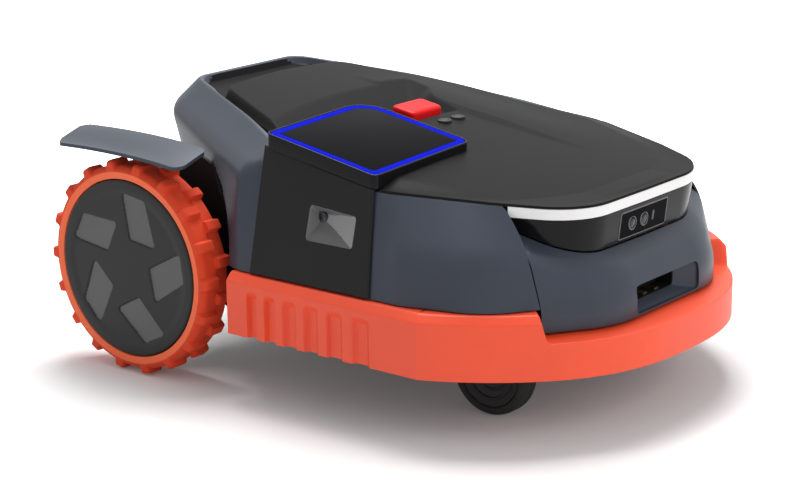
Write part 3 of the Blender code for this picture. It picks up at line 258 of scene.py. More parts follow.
SLATE = Finish("slate_moulding", (0.037, 0.045, 0.064), 0.36, specular=0.32, relief=0.00002, mottle=0.03)
ORANGE = Finish("orange_moulding", (0.86, 0.076, 0.022), 0.44, relief=0.00003, mottle=0.03)
ORANGE_RUBBER = Finish("orange_rubber", (0.72, 0.050, 0.012), 0.60, grain=900.0, relief=0.00008, mottle=0.06,
                       specular=0.2)
SIDE_RUBBER = Finish("orange_sidewall", (0.90, 0.13, 0.030), 0.50, grain=900.0, relief=0.00003, mottle=0.03)
# Charcoal: the cover's own colour, also painted shade on the shell's groove inside the rim.
CHARCOAL_AND_PAINTED_SHADE = Finish("charcoal_grain_and_painted_shade", (0.014, 0.014, 0.0145), 0.40, grain=2600.0, relief=0.00004, specular=0.025)
BLACK = Finish("black_moulding", (0.010, 0.010, 0.011), 0.55, specular=0.15)
GLOSS = Finish("black_gloss", (0.006, 0.006, 0.007), 0.16, relief=0.000004, specular=0.16)
PANEL = Finish("panel_satin", (0.013, 0.013, 0.014), 0.42, grain=2400.0, relief=0.00003, specular=0.16)
SCREEN = Finish("screen_glass", (0.003, 0.003, 0.004), 0.18, relief=0.000002, mottle=0.02, specular=0.012)
# Inlay grey: the hub caps' pocket floors and the camera lamp, also painted shade on the bottom facet of the side camera
# pocket.
INLAY_AND_PAINTED_SHADE = Finish("cap_inlay_and_painted_shade", (0.085, 0.085, 0.087), 0.5, grain=2200.0, relief=0.00004)
GREY = Finish("dark_grey_moulding", (0.020, 0.020, 0.021), 0.48, specular=0.25)
RED = Finish("red_button", (0.74, 0.008, 0.010), 0.36, relief=0.00001, mottle=0.03, specular=0.12)
MILK = Finish("milky_lens", (0.72, 0.72, 0.72), 0.30, relief=0.00001, mottle=0.02, glow=0.15)
BLUE = Finish("blue_light", (0.001, 0.004, 0.26), 0.25, relief=0.000004, mottle=0.02, glow=1.1, specular=0.005)
# Pocket grey, kept on the front facet of the side camera pocket and lighter than the other facets as painted light.
FACET_PAINTED_LIGHT = Finish("pocket_satin_painted_light", (0.22, 0.22, 0.222), 0.30, relief=0.00001)
# Rim grey: the camera window's rim, also a painted highlight on the lens rings and painted shade on the top and rear
# facets of the side camera pocket.
RIM_GREY_AND_PAINTED_LIGHT = Finish("window_rim_and_painted_light", (0.11, 0.11, 0.112), 0.35, relief=0.00001)
LENS = Finish("lens_glass", (0.006, 0.007, 0.012), 0.06, relief=0.000002, coat=1.0)
RUBBER = Finish("black_rubber", (0.014, 0.014, 0.014), 0.75, grain=900.0, relief=0.00008)
STEEL = Finish("plain_steel", (0.56, 0.56, 0.57), 0.28, 1.0, relief=0.00001)
BRASS = Finish("contact_brass", (0.72, 0.50, 0.20), 0.26, 1.0, relief=0.00001)

SLOTS: dict[str, Finish] = {
    "slate_plastic": SLATE, "orange_plastic": ORANGE, "orange_rubber": ORANGE_RUBBER,
    "charcoal_plastic": CHARCOAL_AND_PAINTED_SHADE, "black_plastic": BLACK, "gloss_black": GLOSS, "grey_plastic": GREY,
    "red_plastic": RED, "white_plastic": MILK, "blue_plastic": BLUE, "lens_glass": LENS,
    "black_rubber": RUBBER, "steel": STEEL, "brass": BRASS}


def ease(t: np.ndarray) -> np.ndarray:
    """Smooth step from 0 to 1 with flat ends."""
    t = np.clip(t, 0.0, 1.0)
    return t * t * (3.0 - 2.0 * t)


def mix(a: np.ndarray, b: np.ndarray, t: np.ndarray) -> np.ndarray:
    """Value a share t of the way from a to b."""
    return a + (b - a) * t


def unit(v: np.ndarray) -> np.ndarray:
    """Vectors scaled to length 1 along the last axis."""
    return v / np.maximum(np.linalg.norm(v, axis=-1, keepdims=True), 1e-12)


def lifted(plan: np.ndarray, height: Union[float, np.ndarray]) -> np.ndarray:
    """Plan points raised to a height, which may differ from point to point."""
    return np.concatenate([plan, np.broadcast_to(height, plan.shape[:-1])[..., None]], axis=-1)


def inset(plan: np.ndarray, depth: Union[float, np.ndarray], closed: bool = True) -> np.ndarray:
    """Plan path moved to its left by a depth, which is inward for a path from the front to +X.

    Args:
        plan: points of the path, one row each.
        depth: metres to move, one number or one for each point.
        closed: whether the path ends where it starts.

    Returns:
        The moved points.
    """
    run = np.roll(plan, -1, 0) - np.roll(plan, 1, 0) if closed else np.gradient(plan, axis=0)
    run = unit(run)
    left = np.stack([-run[:, 1], run[:, 0]], axis=1)
    return plan + left * np.broadcast_to(depth, len(plan))[:, None]


def soften(levels: np.ndarray, radii: list[float], closed: bool = False, steps: int = 7) -> np.ndarray:
    """Round the corners of a stack of control curves.

    Each control curve with a radius is replaced by curves of a quadratic arc that leaves the line to the
    curve before it and meets the line to the curve after it at that radius from the corner.

    Args:
        levels: control curves, level by point by coordinate.
        radii: radius of each level in metres, 0 for a sharp one.
        closed: whether the last level joins the first.
        steps: facets in each arc.

    Returns:
        The longer stack of curves.
    """
    share = np.linspace(0.0, 1.0, steps + 1)[:, None, None]
    stack = []
    last = len(levels) - 1
    for i, radius in enumerate(radii):
        here = levels[i]
        if radius == 0.0 or (not closed and i in (0, last)):
            stack.append(here[None])
            continue
        back = levels[i - 1] - here
        ahead = levels[(i + 1) % len(levels)] - here
        start = here + back * np.minimum(radius / np.linalg.norm(back, axis=1), 0.48)[:, None]
        end = here + ahead * np.minimum(radius / np.linalg.norm(ahead, axis=1), 0.48)[:, None]
        stack.append((1 - share) ** 2 * start + 2 * share * (1 - share) * here + share ** 2 * end)
    return np.concatenate(stack)


def skin(name: str, grid: np.ndarray, finish: Finish, around: bool = False, ring: bool = False,
         caps: bool = True, sharp: float = 35.0) -> bpy.types.Object:
    """Object over a grid of points: quads between neighbours, with the normals outward.

    Args:
        name: name of the object.
        grid: points, row by column by coordinate.
        finish: finish of the whole surface.
        around: whether the last column joins the first.
        ring: whether the last row joins the first.
        caps: whether open closed-column ends get a flat cap.
        sharp: angle in degrees over which an edge stays sharp.

    Returns:
        The linked object.
    """
    rows, cols = grid.shape[:2]
    index = np.arange(rows * cols).reshape(rows, cols)
    here = index if ring else index[:-1]
    next_row = np.roll(index, -1, 0) if ring else index[1:]
    if around:
        quads = [here, np.roll(here, -1, 1), np.roll(next_row, -1, 1), next_row]
    else:
        quads = [here[:, :-1], here[:, 1:], next_row[:, 1:], next_row[:, :-1]]
    faces = np.stack(quads, axis=-1).reshape(-1, 4)
    points = grid.reshape(-1, 3)
    corner = points[faces]
    size = np.einsum("ij,ij->i", corner[:, 0], np.cross(corner[:, 1], corner[:, 2]))
    size += np.einsum("ij,ij->i", corner[:, 0], np.cross(corner[:, 2], corner[:, 3]))
    ends = []
    if caps and around and not ring:
        ends = [index[0][::-1], index[-1]]
    elif caps and ring and not around:
        ends = [index[:, 0], index[:, -1][::-1]]
    for end in ends:
        spot = points[end].mean(axis=0)
        edge = points[end]
        size = np.append(size, np.einsum("ij,ij->i", np.broadcast_to(spot, edge.shape),
                                         np.cross(edge, np.roll(edge, -1, 0))))
    flip = size.sum() < 0.0
    if flip:
        faces = faces[:, ::-1]
        ends = [end[::-1] for end in ends]
    mesh = bpy.data.meshes.new(name)
    mesh.from_pydata(points.tolist(), [], faces.tolist() + [end.tolist() for end in ends])
    return linked(name, mesh, finish, sharp)


def refine(levels: np.ndarray, pitch: float) -> np.ndarray:
    """Stack of curves with straight rows added, so that no two rows lie further apart than the pitch."""
    stack = [levels[:1]]
    for low, high in zip(levels[:-1], levels[1:]):
        parts = max(1, int(np.ceil(np.linalg.norm(high - low, axis=1).max() / pitch)))
        share = np.linspace(0.0, 1.0, parts + 1)[1:, None, None]
        stack.append(low + (high - low) * share)
    return np.concatenate(stack)


def sunk(grid: np.ndarray, depth: Union[float, np.ndarray], around: bool, core: tuple[float, float, float]) -> np.ndarray:
    """Grid moved along its own normals, towards a point inside the piece.

    Args:
        grid: points, row by column by coordinate.
        depth: metres to move, one number or one for each row.
        around: whether the last column joins the first.
        core: point on the inner side.

    Returns:
        The moved grid.
    """
    down = np.gradient(grid, axis=0)
    along = np.roll(grid, -1, 1) - np.roll(grid, 1, 1) if around else np.gradient(grid, axis=1)
    normal = unit(np.cross(down, along))
    if np.sum(normal * (grid - np.array(core))) < 0.0:
        normal = -normal
    return grid - normal * np.broadcast_to(depth, len(grid))[:, None, None]


def opened(outer: np.ndarray, inner: np.ndarray, field: Callable[[np.ndarray], np.ndarray],
           keep: Optional[np.ndarray], around: bool) -> tuple[np.ndarray, np.ndarray, np.ndarray]:
    """Cut an opening into a sheet by moving the points inside it onto its edge.

    The field is the distance to the opening's edge, below 0 inside it. Quads that lie wholly inside are left
    out, and the points of the others that lie inside move along the field's slope until they are on the edge.

    Args:
        outer: outer grid.
        inner: inner grid, moved along with the outer one.
        field: distance for an array of points.
        keep: quads kept so far, or None for all.
        around: whether the last column joins the first.

    Returns:
        Both grids and the quads that stay.
    """
    out = field(outer) >= 0.0
    ahead = np.roll(out, -1, 1) if around else out[:, 1:]
    here = out if around else out[:, :-1]
    stay = here[:-1] | here[1:] | ahead[:-1] | ahead[1:]
    moved = outer.copy()
    small = 1e-5
    for _ in range(3):
        away = field(moved)
        slope = np.stack([(field(moved + small * axis) - field(moved - small * axis)) / (2 * small)
                          for axis in np.eye(3)], axis=-1)
        size = np.maximum(np.sum(slope ** 2, axis=-1), 1e-6)
        moved -= np.where(out, 0.0, away / size)[..., None] * slope
    return moved, inner + (moved - outer), stay if keep is None else stay & keep


def sheet(name: str, outer: np.ndarray, inner: np.ndarray, finish: Finish, keep: Optional[np.ndarray] = None,
          around: bool = False, back: bool = True, sharp: float = 35.0) -> bpy.types.Object:
    """Moulded wall between two grids, closed along every edge of the quads that are kept.

    Args:
        name: name of the object.
        outer: visible grid, row by column by coordinate.
        inner: grid behind it.
        finish: finish of the whole wall.
        keep: quads that stay, or None for all.
        around: whether the last column joins the first.
        back: whether the inner side gets its faces too.
        sharp: angle in degrees over which an edge stays sharp.

    Returns:
        The linked object.
    """
    rows, cols = outer.shape[:2]
    index = np.arange(rows * cols).reshape(rows, cols)
    ahead = np.roll(index, -1, 1) if around else index[:, 1:]
    here = index if around else index[:, :-1]
    faces = np.stack([here[:-1], ahead[:-1], ahead[1:], here[1:]], axis=-1)
    faces = faces.reshape(-1, 4) if keep is None else faces[keep]
    points = np.concatenate([outer.reshape(-1, 3), inner.reshape(-1, 3)])
    corner = points[faces]
    normal = np.cross(corner[:, 2] - corner[:, 0], corner[:, 3] - corner[:, 1])
    if np.sum(normal * (corner - points[faces + rows * cols]).sum(axis=1)) < 0.0:
        faces = faces[:, ::-1]
    edges = np.stack([faces, np.roll(faces, -1, 1)], axis=-1).reshape(-1, 2)
    low, high = edges.min(axis=1), edges.max(axis=1)
    _, first, count = np.unique(low * rows * cols + high, return_index=True, return_counts=True)
    rim = edges[first[count == 1]]
    walls = np.stack([rim[:, 1], rim[:, 0], rim[:, 0] + rows * cols, rim[:, 1] + rows * cols], axis=1)
    every = [faces, walls] + ([faces[:, ::-1] + rows * cols] if back else [])
    faces = np.concatenate(every)
    used, faces = np.unique(faces, return_inverse=True)
    mesh = bpy.data.meshes.new(name)
    mesh.from_pydata(points[used].tolist(), [], faces.reshape(-1, 4).tolist())
    return linked(name, mesh, finish, sharp)


def linked(name: str, mesh: bpy.types.Mesh, finish: Finish, sharp: float) -> bpy.types.Object:
    """Object over a mesh, shaded smooth up to an angle, with a finish."""
    mesh.materials.append(finish.material())
    mesh.shade_smooth()
    mesh.set_sharp_from_angle(angle=radians(sharp))
    made = bpy.data.objects.new(name, mesh)
    bpy.context.collection.objects.link(made)
    return made


def ride(made: bpy.types.Object, body: Body, slot: str, *nodes: str) -> bpy.types.Object:
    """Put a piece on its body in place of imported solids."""
    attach(made, body.value)
    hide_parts(*nodes)
    return made


def turned(profile: list[tuple[float, float]], centre: tuple[float, float, float], axis: str = "X",
           count: int = 96, radii: Optional[list[float]] = None, ring: bool = False) -> np.ndarray:
    """Grid of a turned shape: a profile of (radius, place along the axis) swept round the axis.

    Args:
        profile: control points of the profile.
        centre: point on the axis.
        axis: X, Y or Z.
        count: points round the axis.
        radii: rounding radius of each control point.
        ring: whether the profile closes on itself.

    Returns:
        Points, profile row by turn by coordinate.
    """
    flat = np.array([(r, a, 0.0) for r, a in profile])[:, None, :]
    if radii is not None:
        flat = soften(flat, radii, ring)
    turn = np.linspace(0.0, 2.0 * pi, count, endpoint=False)[None, :]
    radius, along = flat[..., 0], np.broadcast_to(flat[..., 1], (len(flat), count))
    u, v = radius * np.cos(turn), radius * np.sin(turn)
    parts = {"X": (along, u, v), "Y": (u, along, v), "Z": (u, v, along)}[axis]
    return np.stack(parts, axis=-1) + np.array(centre)


def rounded(xs: tuple[float, float], ys: tuple[float, float], radii: list[float], steps: int = 10) -> np.ndarray:
    """Rectangle outline with a rounding at each corner, from the low corner on, anticlockwise."""
    corners = np.array([(xs[0], ys[0]), (xs[1], ys[0]), (xs[1], ys[1]), (xs[0], ys[1])])
    return polygon(corners, radii, steps)


def polygon(corners: np.ndarray, radii: list[float], steps: int = 10) -> np.ndarray:
    """Closed outline through corners, each rounded by an arc of its radius."""
    runs = []
    for i, radius in enumerate(radii):
        corner = corners[i]
        if radius == 0.0:
            runs.append(corner[None])
            continue
        back = unit(corners[i - 1] - corner)
        ahead = unit(corners[(i + 1) % len(corners)] - corner)
        half = np.arccos(np.clip(back @ ahead, -1.0, 1.0)) / 2.0
        reach = radius / np.sin(half)
        centre = corner + unit(back + ahead) * reach
        first = corner + back * reach * np.cos(half) - centre
        last = corner + ahead * reach * np.cos(half) - centre
        turn = pi - 2.0 * half
        share = np.linspace(0.0, 1.0, steps + 1)[:, None]
        runs.append(centre + (first * np.sin((1 - share) * turn) + last * np.sin(share * turn)) / np.sin(turn))
    return np.concatenate(runs)


@dataclass(frozen=True)
class Outline:
    """Closed plan outline, the same on both sides.

    Attributes:
        half: corners (x, y, radius) of the +X half from the front to the rear.
    """

    half: tuple[tuple[float, float, float], ...]

    def ring(self, turns: np.ndarray) -> np.ndarray:
        """Points where rays from the middle cross the outline.

        Args:
            turns: directions in radians, 0 to the front, growing to +X.

        Returns:
            One plan point for each ray.
        """
        full = list(self.half) + [(-x, y, r) for x, y, r in reversed(self.half) if x > 0.0]
        path = polygon(np.array([p[:2] for p in full]), [p[2] for p in full], 40)
        path = np.concatenate([path, path[:1]])
        reach = np.concatenate([[0.0], np.cumsum(np.linalg.norm(np.diff(path, axis=0), axis=1))])
        even = np.linspace(0.0, reach[-1], 8000, endpoint=False)
        x, y = np.interp(even, reach, path[:, 0]), np.interp(even, reach, path[:, 1])
        angle = np.arctan2(x, -y)
        return np.stack([np.interp(turns, angle, x, period=2 * pi), np.interp(turns, angle, y, period=2 * pi)], 1)


SILL_Z, FASCIA_Z, TOP_Z, TOP_SLOPE, RIM_RISE = 0.1498, 0.1225, 0.2755, 0.139, 0.0098
NOSE_Z, NOSE_SLOPE = 0.2671, 0.055
CROWN_Z, CROWN_DROP, GAP = 0.2926, 0.009, 0.0004
SILL_X, SHOULDER_X = 0.2565, 0.2255
BAR_Z, STRIP_H, STRIP_T, STRIP_END = 0.1965, 0.0121, 0.005, -0.2345
BUMPER_X, BUMPER_Z, BUMPER_REAR, BUMPER_BEND, LEDGE_Z = 0.2687, 0.0765, 0.085, -0.1874, 0.118
NOSE_Y = -0.3675
WHEEL_R, TREAD_R, CAP_R, TYRE_W, WHEEL_X, LUGS = 0.1295, 0.1234, 0.1068, 0.048, 0.277, 18
LUG_HALF = radians(2.1)
AXLE_Y, AXLE_Z = 0.3675 - WHEEL_R * cos(LUG_HALF), WHEEL_R * cos(LUG_HALF)
ARCH_R, HOUSE_X = 0.1395, 0.192
DISPLAY_X, DISPLAY_Y = (-0.228, -0.053), (-0.1025, 0.056)
STOP_X, STOP_Y, STOP_Z, SCOOP_Z = (-0.018, 0.040), (0.0085, 0.0427), 0.3008, 0.286
KEYS = ((0.006, -0.0195), (0.0325, -0.0195))
KEY_R = 0.0085
CASTER_X, CASTER_Y, CASTER_R = 0.128, -0.191, 0.050

SILL = Outline(((0.0, -0.337, 0.0), (0.103, -0.337, 0.12), (0.2315, -0.250, 0.10), (SILL_X, -0.157, 0.08),
                (SILL_X, 0.088, 0.06), (0.120, 0.275, 0.04), (0.0, 0.275, 0.0)))
CREASE = Outline(((0.0, -0.327, 0.0), (0.098, -0.326, 0.11), (0.2215, -0.239, 0.10), (SILL_X - 0.0105, -0.155, 0.08),
                  (SILL_X - 0.0135, 0.078, 0.06), (0.115, 0.322, 0.04), (0.0, 0.325, 0.0)))
NOSE_HALF = ((0.0, -0.307, 0.0), (0.128, -0.306, 0.085), (0.176, -0.217, 0.08), (SHOULDER_X, -0.10, 0.06))
RIM = Outline(NOSE_HALF + ((SHOULDER_X - 0.0065, 0.02, 0.08), (0.0935, 0.293, 0.03), (0.0, 0.293, 0.0)))
COVER = Outline(NOSE_HALF + ((SHOULDER_X - 0.0255, 0.03, 0.08), (0.112, 0.232, 0.03), (0.0, 0.238, 0.0)))


def top_z(p: np.ndarray) -> np.ndarray:
    """Sloping plane that the cover rests on, which falls less steeply towards the nose."""
    return np.maximum(TOP_Z + TOP_SLOPE * p[..., 1], NOSE_Z + NOSE_SLOPE * p[..., 1])


def sole_z(p: np.ndarray) -> np.ndarray:
    """Lower edge of the camera bar, which climbs to the cover's edge at both ends."""
    rise = 0.44 * np.maximum(0.0, p[..., 1] + 0.301) + 12.0 * np.maximum(0.0, p[..., 1] + 0.245) ** 2
    return np.minimum(BAR_Z + rise, top_z(p) - 3 * GAP)


def rim_z(p: np.ndarray) -> np.ndarray:
    """Outer top edge: the plane, raised to the rim behind the shoulders."""
    return top_z(p) + RIM_RISE * ease((p[..., 1] - 0.01) / 0.15)


def crease_z(p: np.ndarray) -> np.ndarray:
    """Crease line: low over the fascia, higher along the sides and up to the rear."""
    front = np.minimum(0.180 + 0.028 * (np.abs(p[..., 0]) / 0.18) ** 3.5, 0.205)
    return mix(front, 0.255 + 0.115 * p[..., 1], ease((p[..., 1] + 0.10) / 0.16))


def crown_z(x: np.ndarray, y: np.ndarray) -> np.ndarray:
    """Cover surface before its edges are drawn down."""
    rise = np.maximum(NOSE_Z + 0.003 - CROWN_Z + (NOSE_SLOPE - TOP_SLOPE) * y, 0.0)
    return CROWN_Z + TOP_SLOPE * y + rise - CROWN_DROP * (x / SHOULDER_X) ** 2


def side_x(z: np.ndarray) -> np.ndarray:
    """Half width of the straight lean behind the side panel at a height."""
    return mix(SILL_X, SHOULDER_X, (z - SILL_Z) / (TOP_Z - 0.012 - SILL_Z))


def seam_x(z: np.ndarray) -> np.ndarray:
    """Half width of the fascia at a height, seen from the front."""
    return mix(0.1775, 0.169, np.clip((z - 0.200) / 0.050, 0.0, 1.0))


def display_top(p: np.ndarray, sink: float = 0.0) -> np.ndarray:
    """Sloping top plane of the display module."""
    return 0.2803 + 0.18 * (p[..., 1] - DISPLAY_Y[0]) + 0.045 * (p[..., 0] - DISPLAY_X[0]) - sink


def display_foot(p: np.ndarray) -> np.ndarray:
    """Underside of the display module."""
    return 0.2645 + 0.17 * (p[..., 1] - DISPLAY_Y[0])


def trimmed(levels: np.ndarray, turns: np.ndarray, spare: float, count: int, rear: bool) -> np.ndarray:
    """Stack of rings cut where each crosses the seam beside the nose.

    Args:
        levels: rings, level by turn by coordinate.
        turns: directions of the points of the rings.
        spare: metres outside the seam where the cut is.
        count: points along each cut ring.
        rear: keep the part behind the seam, else the part in front of it.

    Returns:
        The rings between the two cuts, from the +X seam on behind it or from the -X seam on in front of it.
    """
    cut = []
    for ring in levels:
        half = turns < 1.4
        gap = np.abs(ring[half, 0]) - seam_x(ring[half, 2]) - spare
        k = int(np.argmax(gap > 0.0))
        share = gap[k - 1] / (gap[k - 1] - gap[k])
        edge = turns[k - 1] + share * (turns[k] - turns[k - 1])
        even = np.linspace(edge, 2 * pi - edge, count) if rear else np.linspace(-edge, edge, count)
        cut.append(np.stack([np.interp(even, turns, ring[:, axis], period=2 * pi) for axis in range(3)], 1))
    return np.array(cut)


@dataclass
class Collar:
    """Slate shell round the machine and the fascia in front of it.

    Attributes:
        points: points round the shell.
        seam: width of the dark line between shell and fascia.
    """

    points: int = 500
    seam: float = 0.0011

    def rings(self, turns: np.ndarray) -> dict[str, np.ndarray]:
        """Plan rings that the shell is lofted through."""
        crease = CREASE.ring(turns)
        seat = ease((crease[:, 1] + 0.150) / 0.03) * (1.0 - ease((crease[:, 1] - 0.062) / 0.03))
        seat = np.where(crease[:, 0] < 0.0, seat, 0.0)
        crease[:, 0] = mix(crease[:, 0], -side_x(crease_z(crease)), seat)
        cover = COVER.ring(turns)
        land = mix(0.004, -0.0015, ease((cover[:, 1] + 0.10) / 0.10))
        return {"sill": SILL.ring(turns), "crease": crease, "rim": RIM.ring(turns), "cover": cover,
                "edge": inset(cover, land), "ledge": inset(cover, 0.010)}

    def shell(self) -> bpy.types.Object:
        """Shell: a stack of plan rings from the sill over crease and rim to the ledge, with its openings and painted
        shade in the groove inside the rim.
        """
        turns = np.linspace(0.0, 2 * pi, 2400, endpoint=False)
        plan = self.rings(turns)
        rim, edge = plan["rim"], plan["edge"]
        width = np.linalg.norm(rim - edge, axis=1)[:, None]
        rail, wall = (mix(rim, edge, np.minimum(reach / width, most)) for reach, most in ((0.007, 0.35), (0.011, 0.70)))
        levels = np.stack([
            lifted(inset(plan["sill"], 0.004), SILL_Z), lifted(plan["sill"], SILL_Z),
            lifted(plan["crease"], crease_z(plan["crease"])), lifted(plan["rim"], rim_z(plan["rim"])),
            lifted(rail, rim_z(rail)), lifted(wall, top_z(wall) + 0.0006), lifted(edge, top_z(edge)),
            lifted(plan["ledge"], top_z(plan["ledge"]))])
        radii = [0.0, 0.0018, 0.016, 0.0050, 0.0020, 0.0015, 0.0012, 0.0]
        stack = refine(soften(levels, radii), 0.006)
        outer = trimmed(stack, turns, self.seam / 2, self.points, True)
        inner = sunk(outer, 0.0022, False, (0.0, 0.0, 0.10))
        keep = None
        for side in (-1, 1):
            def arch(p: np.ndarray, side: int = side) -> np.ndarray:
                """Distance to the wheel arch."""
                round_edge = np.hypot(p[..., 1] - AXLE_Y, p[..., 2] - AXLE_Z) - ARCH_R
                return np.maximum(round_edge, HOUSE_X - side * p[..., 0])
            outer, inner, keep = opened(outer, inner, arch, keep, False)
        low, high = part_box("side_camera_bezel")

        def window(p: np.ndarray) -> np.ndarray:
            """Distance to the opening behind the side camera."""
            along = np.maximum(low.y - p[..., 1], p[..., 1] - high.y)
            up = np.maximum(low.z - p[..., 2], p[..., 2] - high.z)
            return np.maximum(np.maximum(along, up), p[..., 0] + 0.1)
        outer, inner, keep = opened(outer, inner, window, keep, False)
        made = sheet("shell_surface", outer, inner, SLATE, keep)

        def groove(c: np.ndarray) -> np.ndarray:
            """Faces inside the rim behind the shoulders, by their distance from its straight stretches: painted shade
            on the rim's inner wall.
            """
            side, rear = 0.9086 * (np.abs(c[:, 0]) - 0.219) + 0.4177 * (c[:, 1] - 0.02), c[:, 1] - 0.293
            away = np.hypot(np.maximum(side + 0.03, 0.0), np.maximum(rear + 0.03, 0.0)) - 0.03
            return (away < -0.0072) & (c[:, 1] > 0.06) & (c[:, 2] > 0.270)
        # Painted shade: the groove faces get the charcoal colour where the rim's inner wall lies in shadow.
        marked(made, CHARCOAL_AND_PAINTED_SHADE, groove)
        return ride(made, Body.CHASSIS, "slate_plastic", "upper_shell")

    def fascia(self) -> bpy.types.Object:
        """Fascia: the front stretch of sill and crease with a brow under the camera bar, and its slot."""
        turns = np.linspace(0.0, 2 * pi, 2400, endpoint=False)
        plan = self.rings(turns)
        brow = inset(plan["cover"], 0.006)
        brow_z = sole_z(brow)
        sill, crease = plan["sill"], plan["crease"]
        levels = np.stack([
            lifted(inset(sill, 0.004), FASCIA_Z), lifted(sill, FASCIA_Z), lifted(sill, SILL_Z),
            lifted(crease, crease_z(crease)), lifted(brow, brow_z), lifted(inset(brow, 0.004), brow_z - 0.003)])
        radii = [0.0, 0.0020, 0.012, 0.012, 0.0012, 0.0]
        outer = trimmed(refine(soften(levels, radii), 0.0025), turns, -self.seam / 2, 300, False)
        inner = sunk(outer, 0.0022, False, (0.0, -0.20, 0.10))

        def slot(p: np.ndarray) -> np.ndarray:
            """Distance to the charging slot, a rounded rectangle seen from the front."""
            return rounded_field(p[..., 0], p[..., 2] - 0.1421, (0.0655, 0.0159), 0.006)
        outer, inner, keep = opened(outer, inner, slot, None, False)
        made = sheet("fascia_surface", outer, inner, SLATE, keep)
        return ride(made, Body.CHASSIS, "slate_plastic", "front_fascia")

    def build(self) -> None:
        """Make both pieces."""
        self.shell()
        self.fascia()


@dataclass
class Bumper:
    """Orange skirt with a ledge in front, a step beside the fascia and upright flutes on the sides.

    Attributes:
        stations: points along each half of the skirt.
        flutes: rear and front end of each groove along the side.
        depth: depth of the grooves.
    """

    stations: int = 520
    depth: float = 0.0055
    flutes: tuple[tuple[float, float], ...] = (
        (0.0555, 0.0391), (0.0291, 0.0114), (0.0014, -0.0190), (-0.0296, -0.0513), (-0.0623, -0.0866),
        (-0.0981, -0.1248))

    def path(self) -> np.ndarray:
        """Outer plan path from the rear at -X round the nose to the rear at +X.

        The nose is a superellipse and the sides are straight.
        """
        a = np.linspace(pi / 2, 0.0, 4000)
        front = np.stack([BUMPER_X * np.cos(a) ** (2 / 2.63),
                          BUMPER_BEND + (NOSE_Y - BUMPER_BEND) * np.sin(a) ** (2 / 1.16)], 1)
        front[0, 0] = 0.0
        half = np.concatenate([front, [[BUMPER_X, BUMPER_REAR]]])
        reach = np.concatenate([[0.0], np.cumsum(np.linalg.norm(np.diff(half, axis=0), axis=1))])
        even = np.linspace(0.0, reach[-1], self.stations)
        half = np.stack([np.interp(even, reach, half[:, 0]), np.interp(even, reach, half[:, 1])], 1)
        return np.concatenate([half[:0:-1] * (-1.0, 1.0), half])

    def build(self) -> bpy.types.Object:
        """Loft the section along the path: face, bevel, top band or ledge, and back down inside."""
        path = self.path()
        run = np.concatenate([[0.0], np.cumsum(np.linalg.norm(np.diff(path, axis=0), axis=1))])
        turns = np.linspace(0.0, 1.4, 4000)
        sill = SILL.ring(turns)
        corner = sill[np.argmax(sill[:, 0] > seam_x(np.array(SILL_Z)))]
        spot = run[np.argmin(np.linalg.norm(path - corner, axis=1))]
        tall = ease((np.abs(run - run[-1] / 2) - (spot - run[-1] / 2) + 0.006) / 0.012)
        groove = np.zeros(len(path))
        for rear, front in self.flutes:
            share = (path[:, 1] - front) / (rear - front)
            groove = np.maximum(groove, ease(share / 0.30) * ease((1.0 - share) / 0.16))
        crest = mix(LEDGE_Z, SILL_Z - 0.0098, tall)
        top = mix(LEDGE_Z + 0.0005, SILL_Z - 0.0008, tall)
        inner = mix(FASCIA_Z - GAP, SILL_Z - 0.0008, tall)
        bevel = mix(0.003, 0.008, tall)
        deep = mix(0.046, 0.036, tall)
        rows = np.linspace(0.0, 1.0, 30)
        face = []
        for share in rows:
            z = mix(BUMPER_Z, crest, share)
            fade = 1.0 - ease((z - (crest - 0.018)) / 0.012)
            face.append(lifted(inset(path, self.depth * groove * fade, False), z))
        levels = np.stack(face + [
            lifted(inset(path, bevel, False), top), lifted(inset(path, deep, False), inner),
            lifted(inset(path, deep, False), inner - 0.004), lifted(inset(path, bevel + 0.004, False), top - 0.0045),
            lifted(inset(path, 0.0085, False), crest - 0.012), lifted(inset(path, 0.0085, False), np.full(len(path), BUMPER_Z))])
        radii = [0.0022] + [0.0] * 28 + [0.0030, 0.0030, 0.0, 0.0, 0.0, 0.0, 0.0015]
        made = skin("bumper_surface", soften(levels, radii, True), ORANGE, ring=True)
        return ride(made, Body.BUMPER, "orange_plastic", "bumper_skirt")


def soft_max(a: np.ndarray, b: np.ndarray, blur: float) -> np.ndarray:
    """Larger of two heights with the valley between them rounded over a blur."""
    share = np.clip(0.5 + 0.5 * (a - b) / blur, 0.0, 1.0)
    return mix(b, a, share) + blur * share * (1.0 - share)


def soft_min(a: np.ndarray, b: np.ndarray, blur: float) -> np.ndarray:
    """Smaller of two heights with the brim between them rounded over a blur."""
    return -soft_max(-a, -b, blur)


def rounded_field(across: np.ndarray, along: np.ndarray, half: tuple[float, float], radius: float) -> np.ndarray:
    """Distance to a rounded rectangle round the origin, below 0 inside it."""
    reach = np.stack([np.abs(across) - half[0] + radius, np.abs(along) - half[1] + radius], -1)
    return np.linalg.norm(np.maximum(reach, 0.0), axis=-1) + np.minimum(reach.max(axis=-1), 0.0) - radius


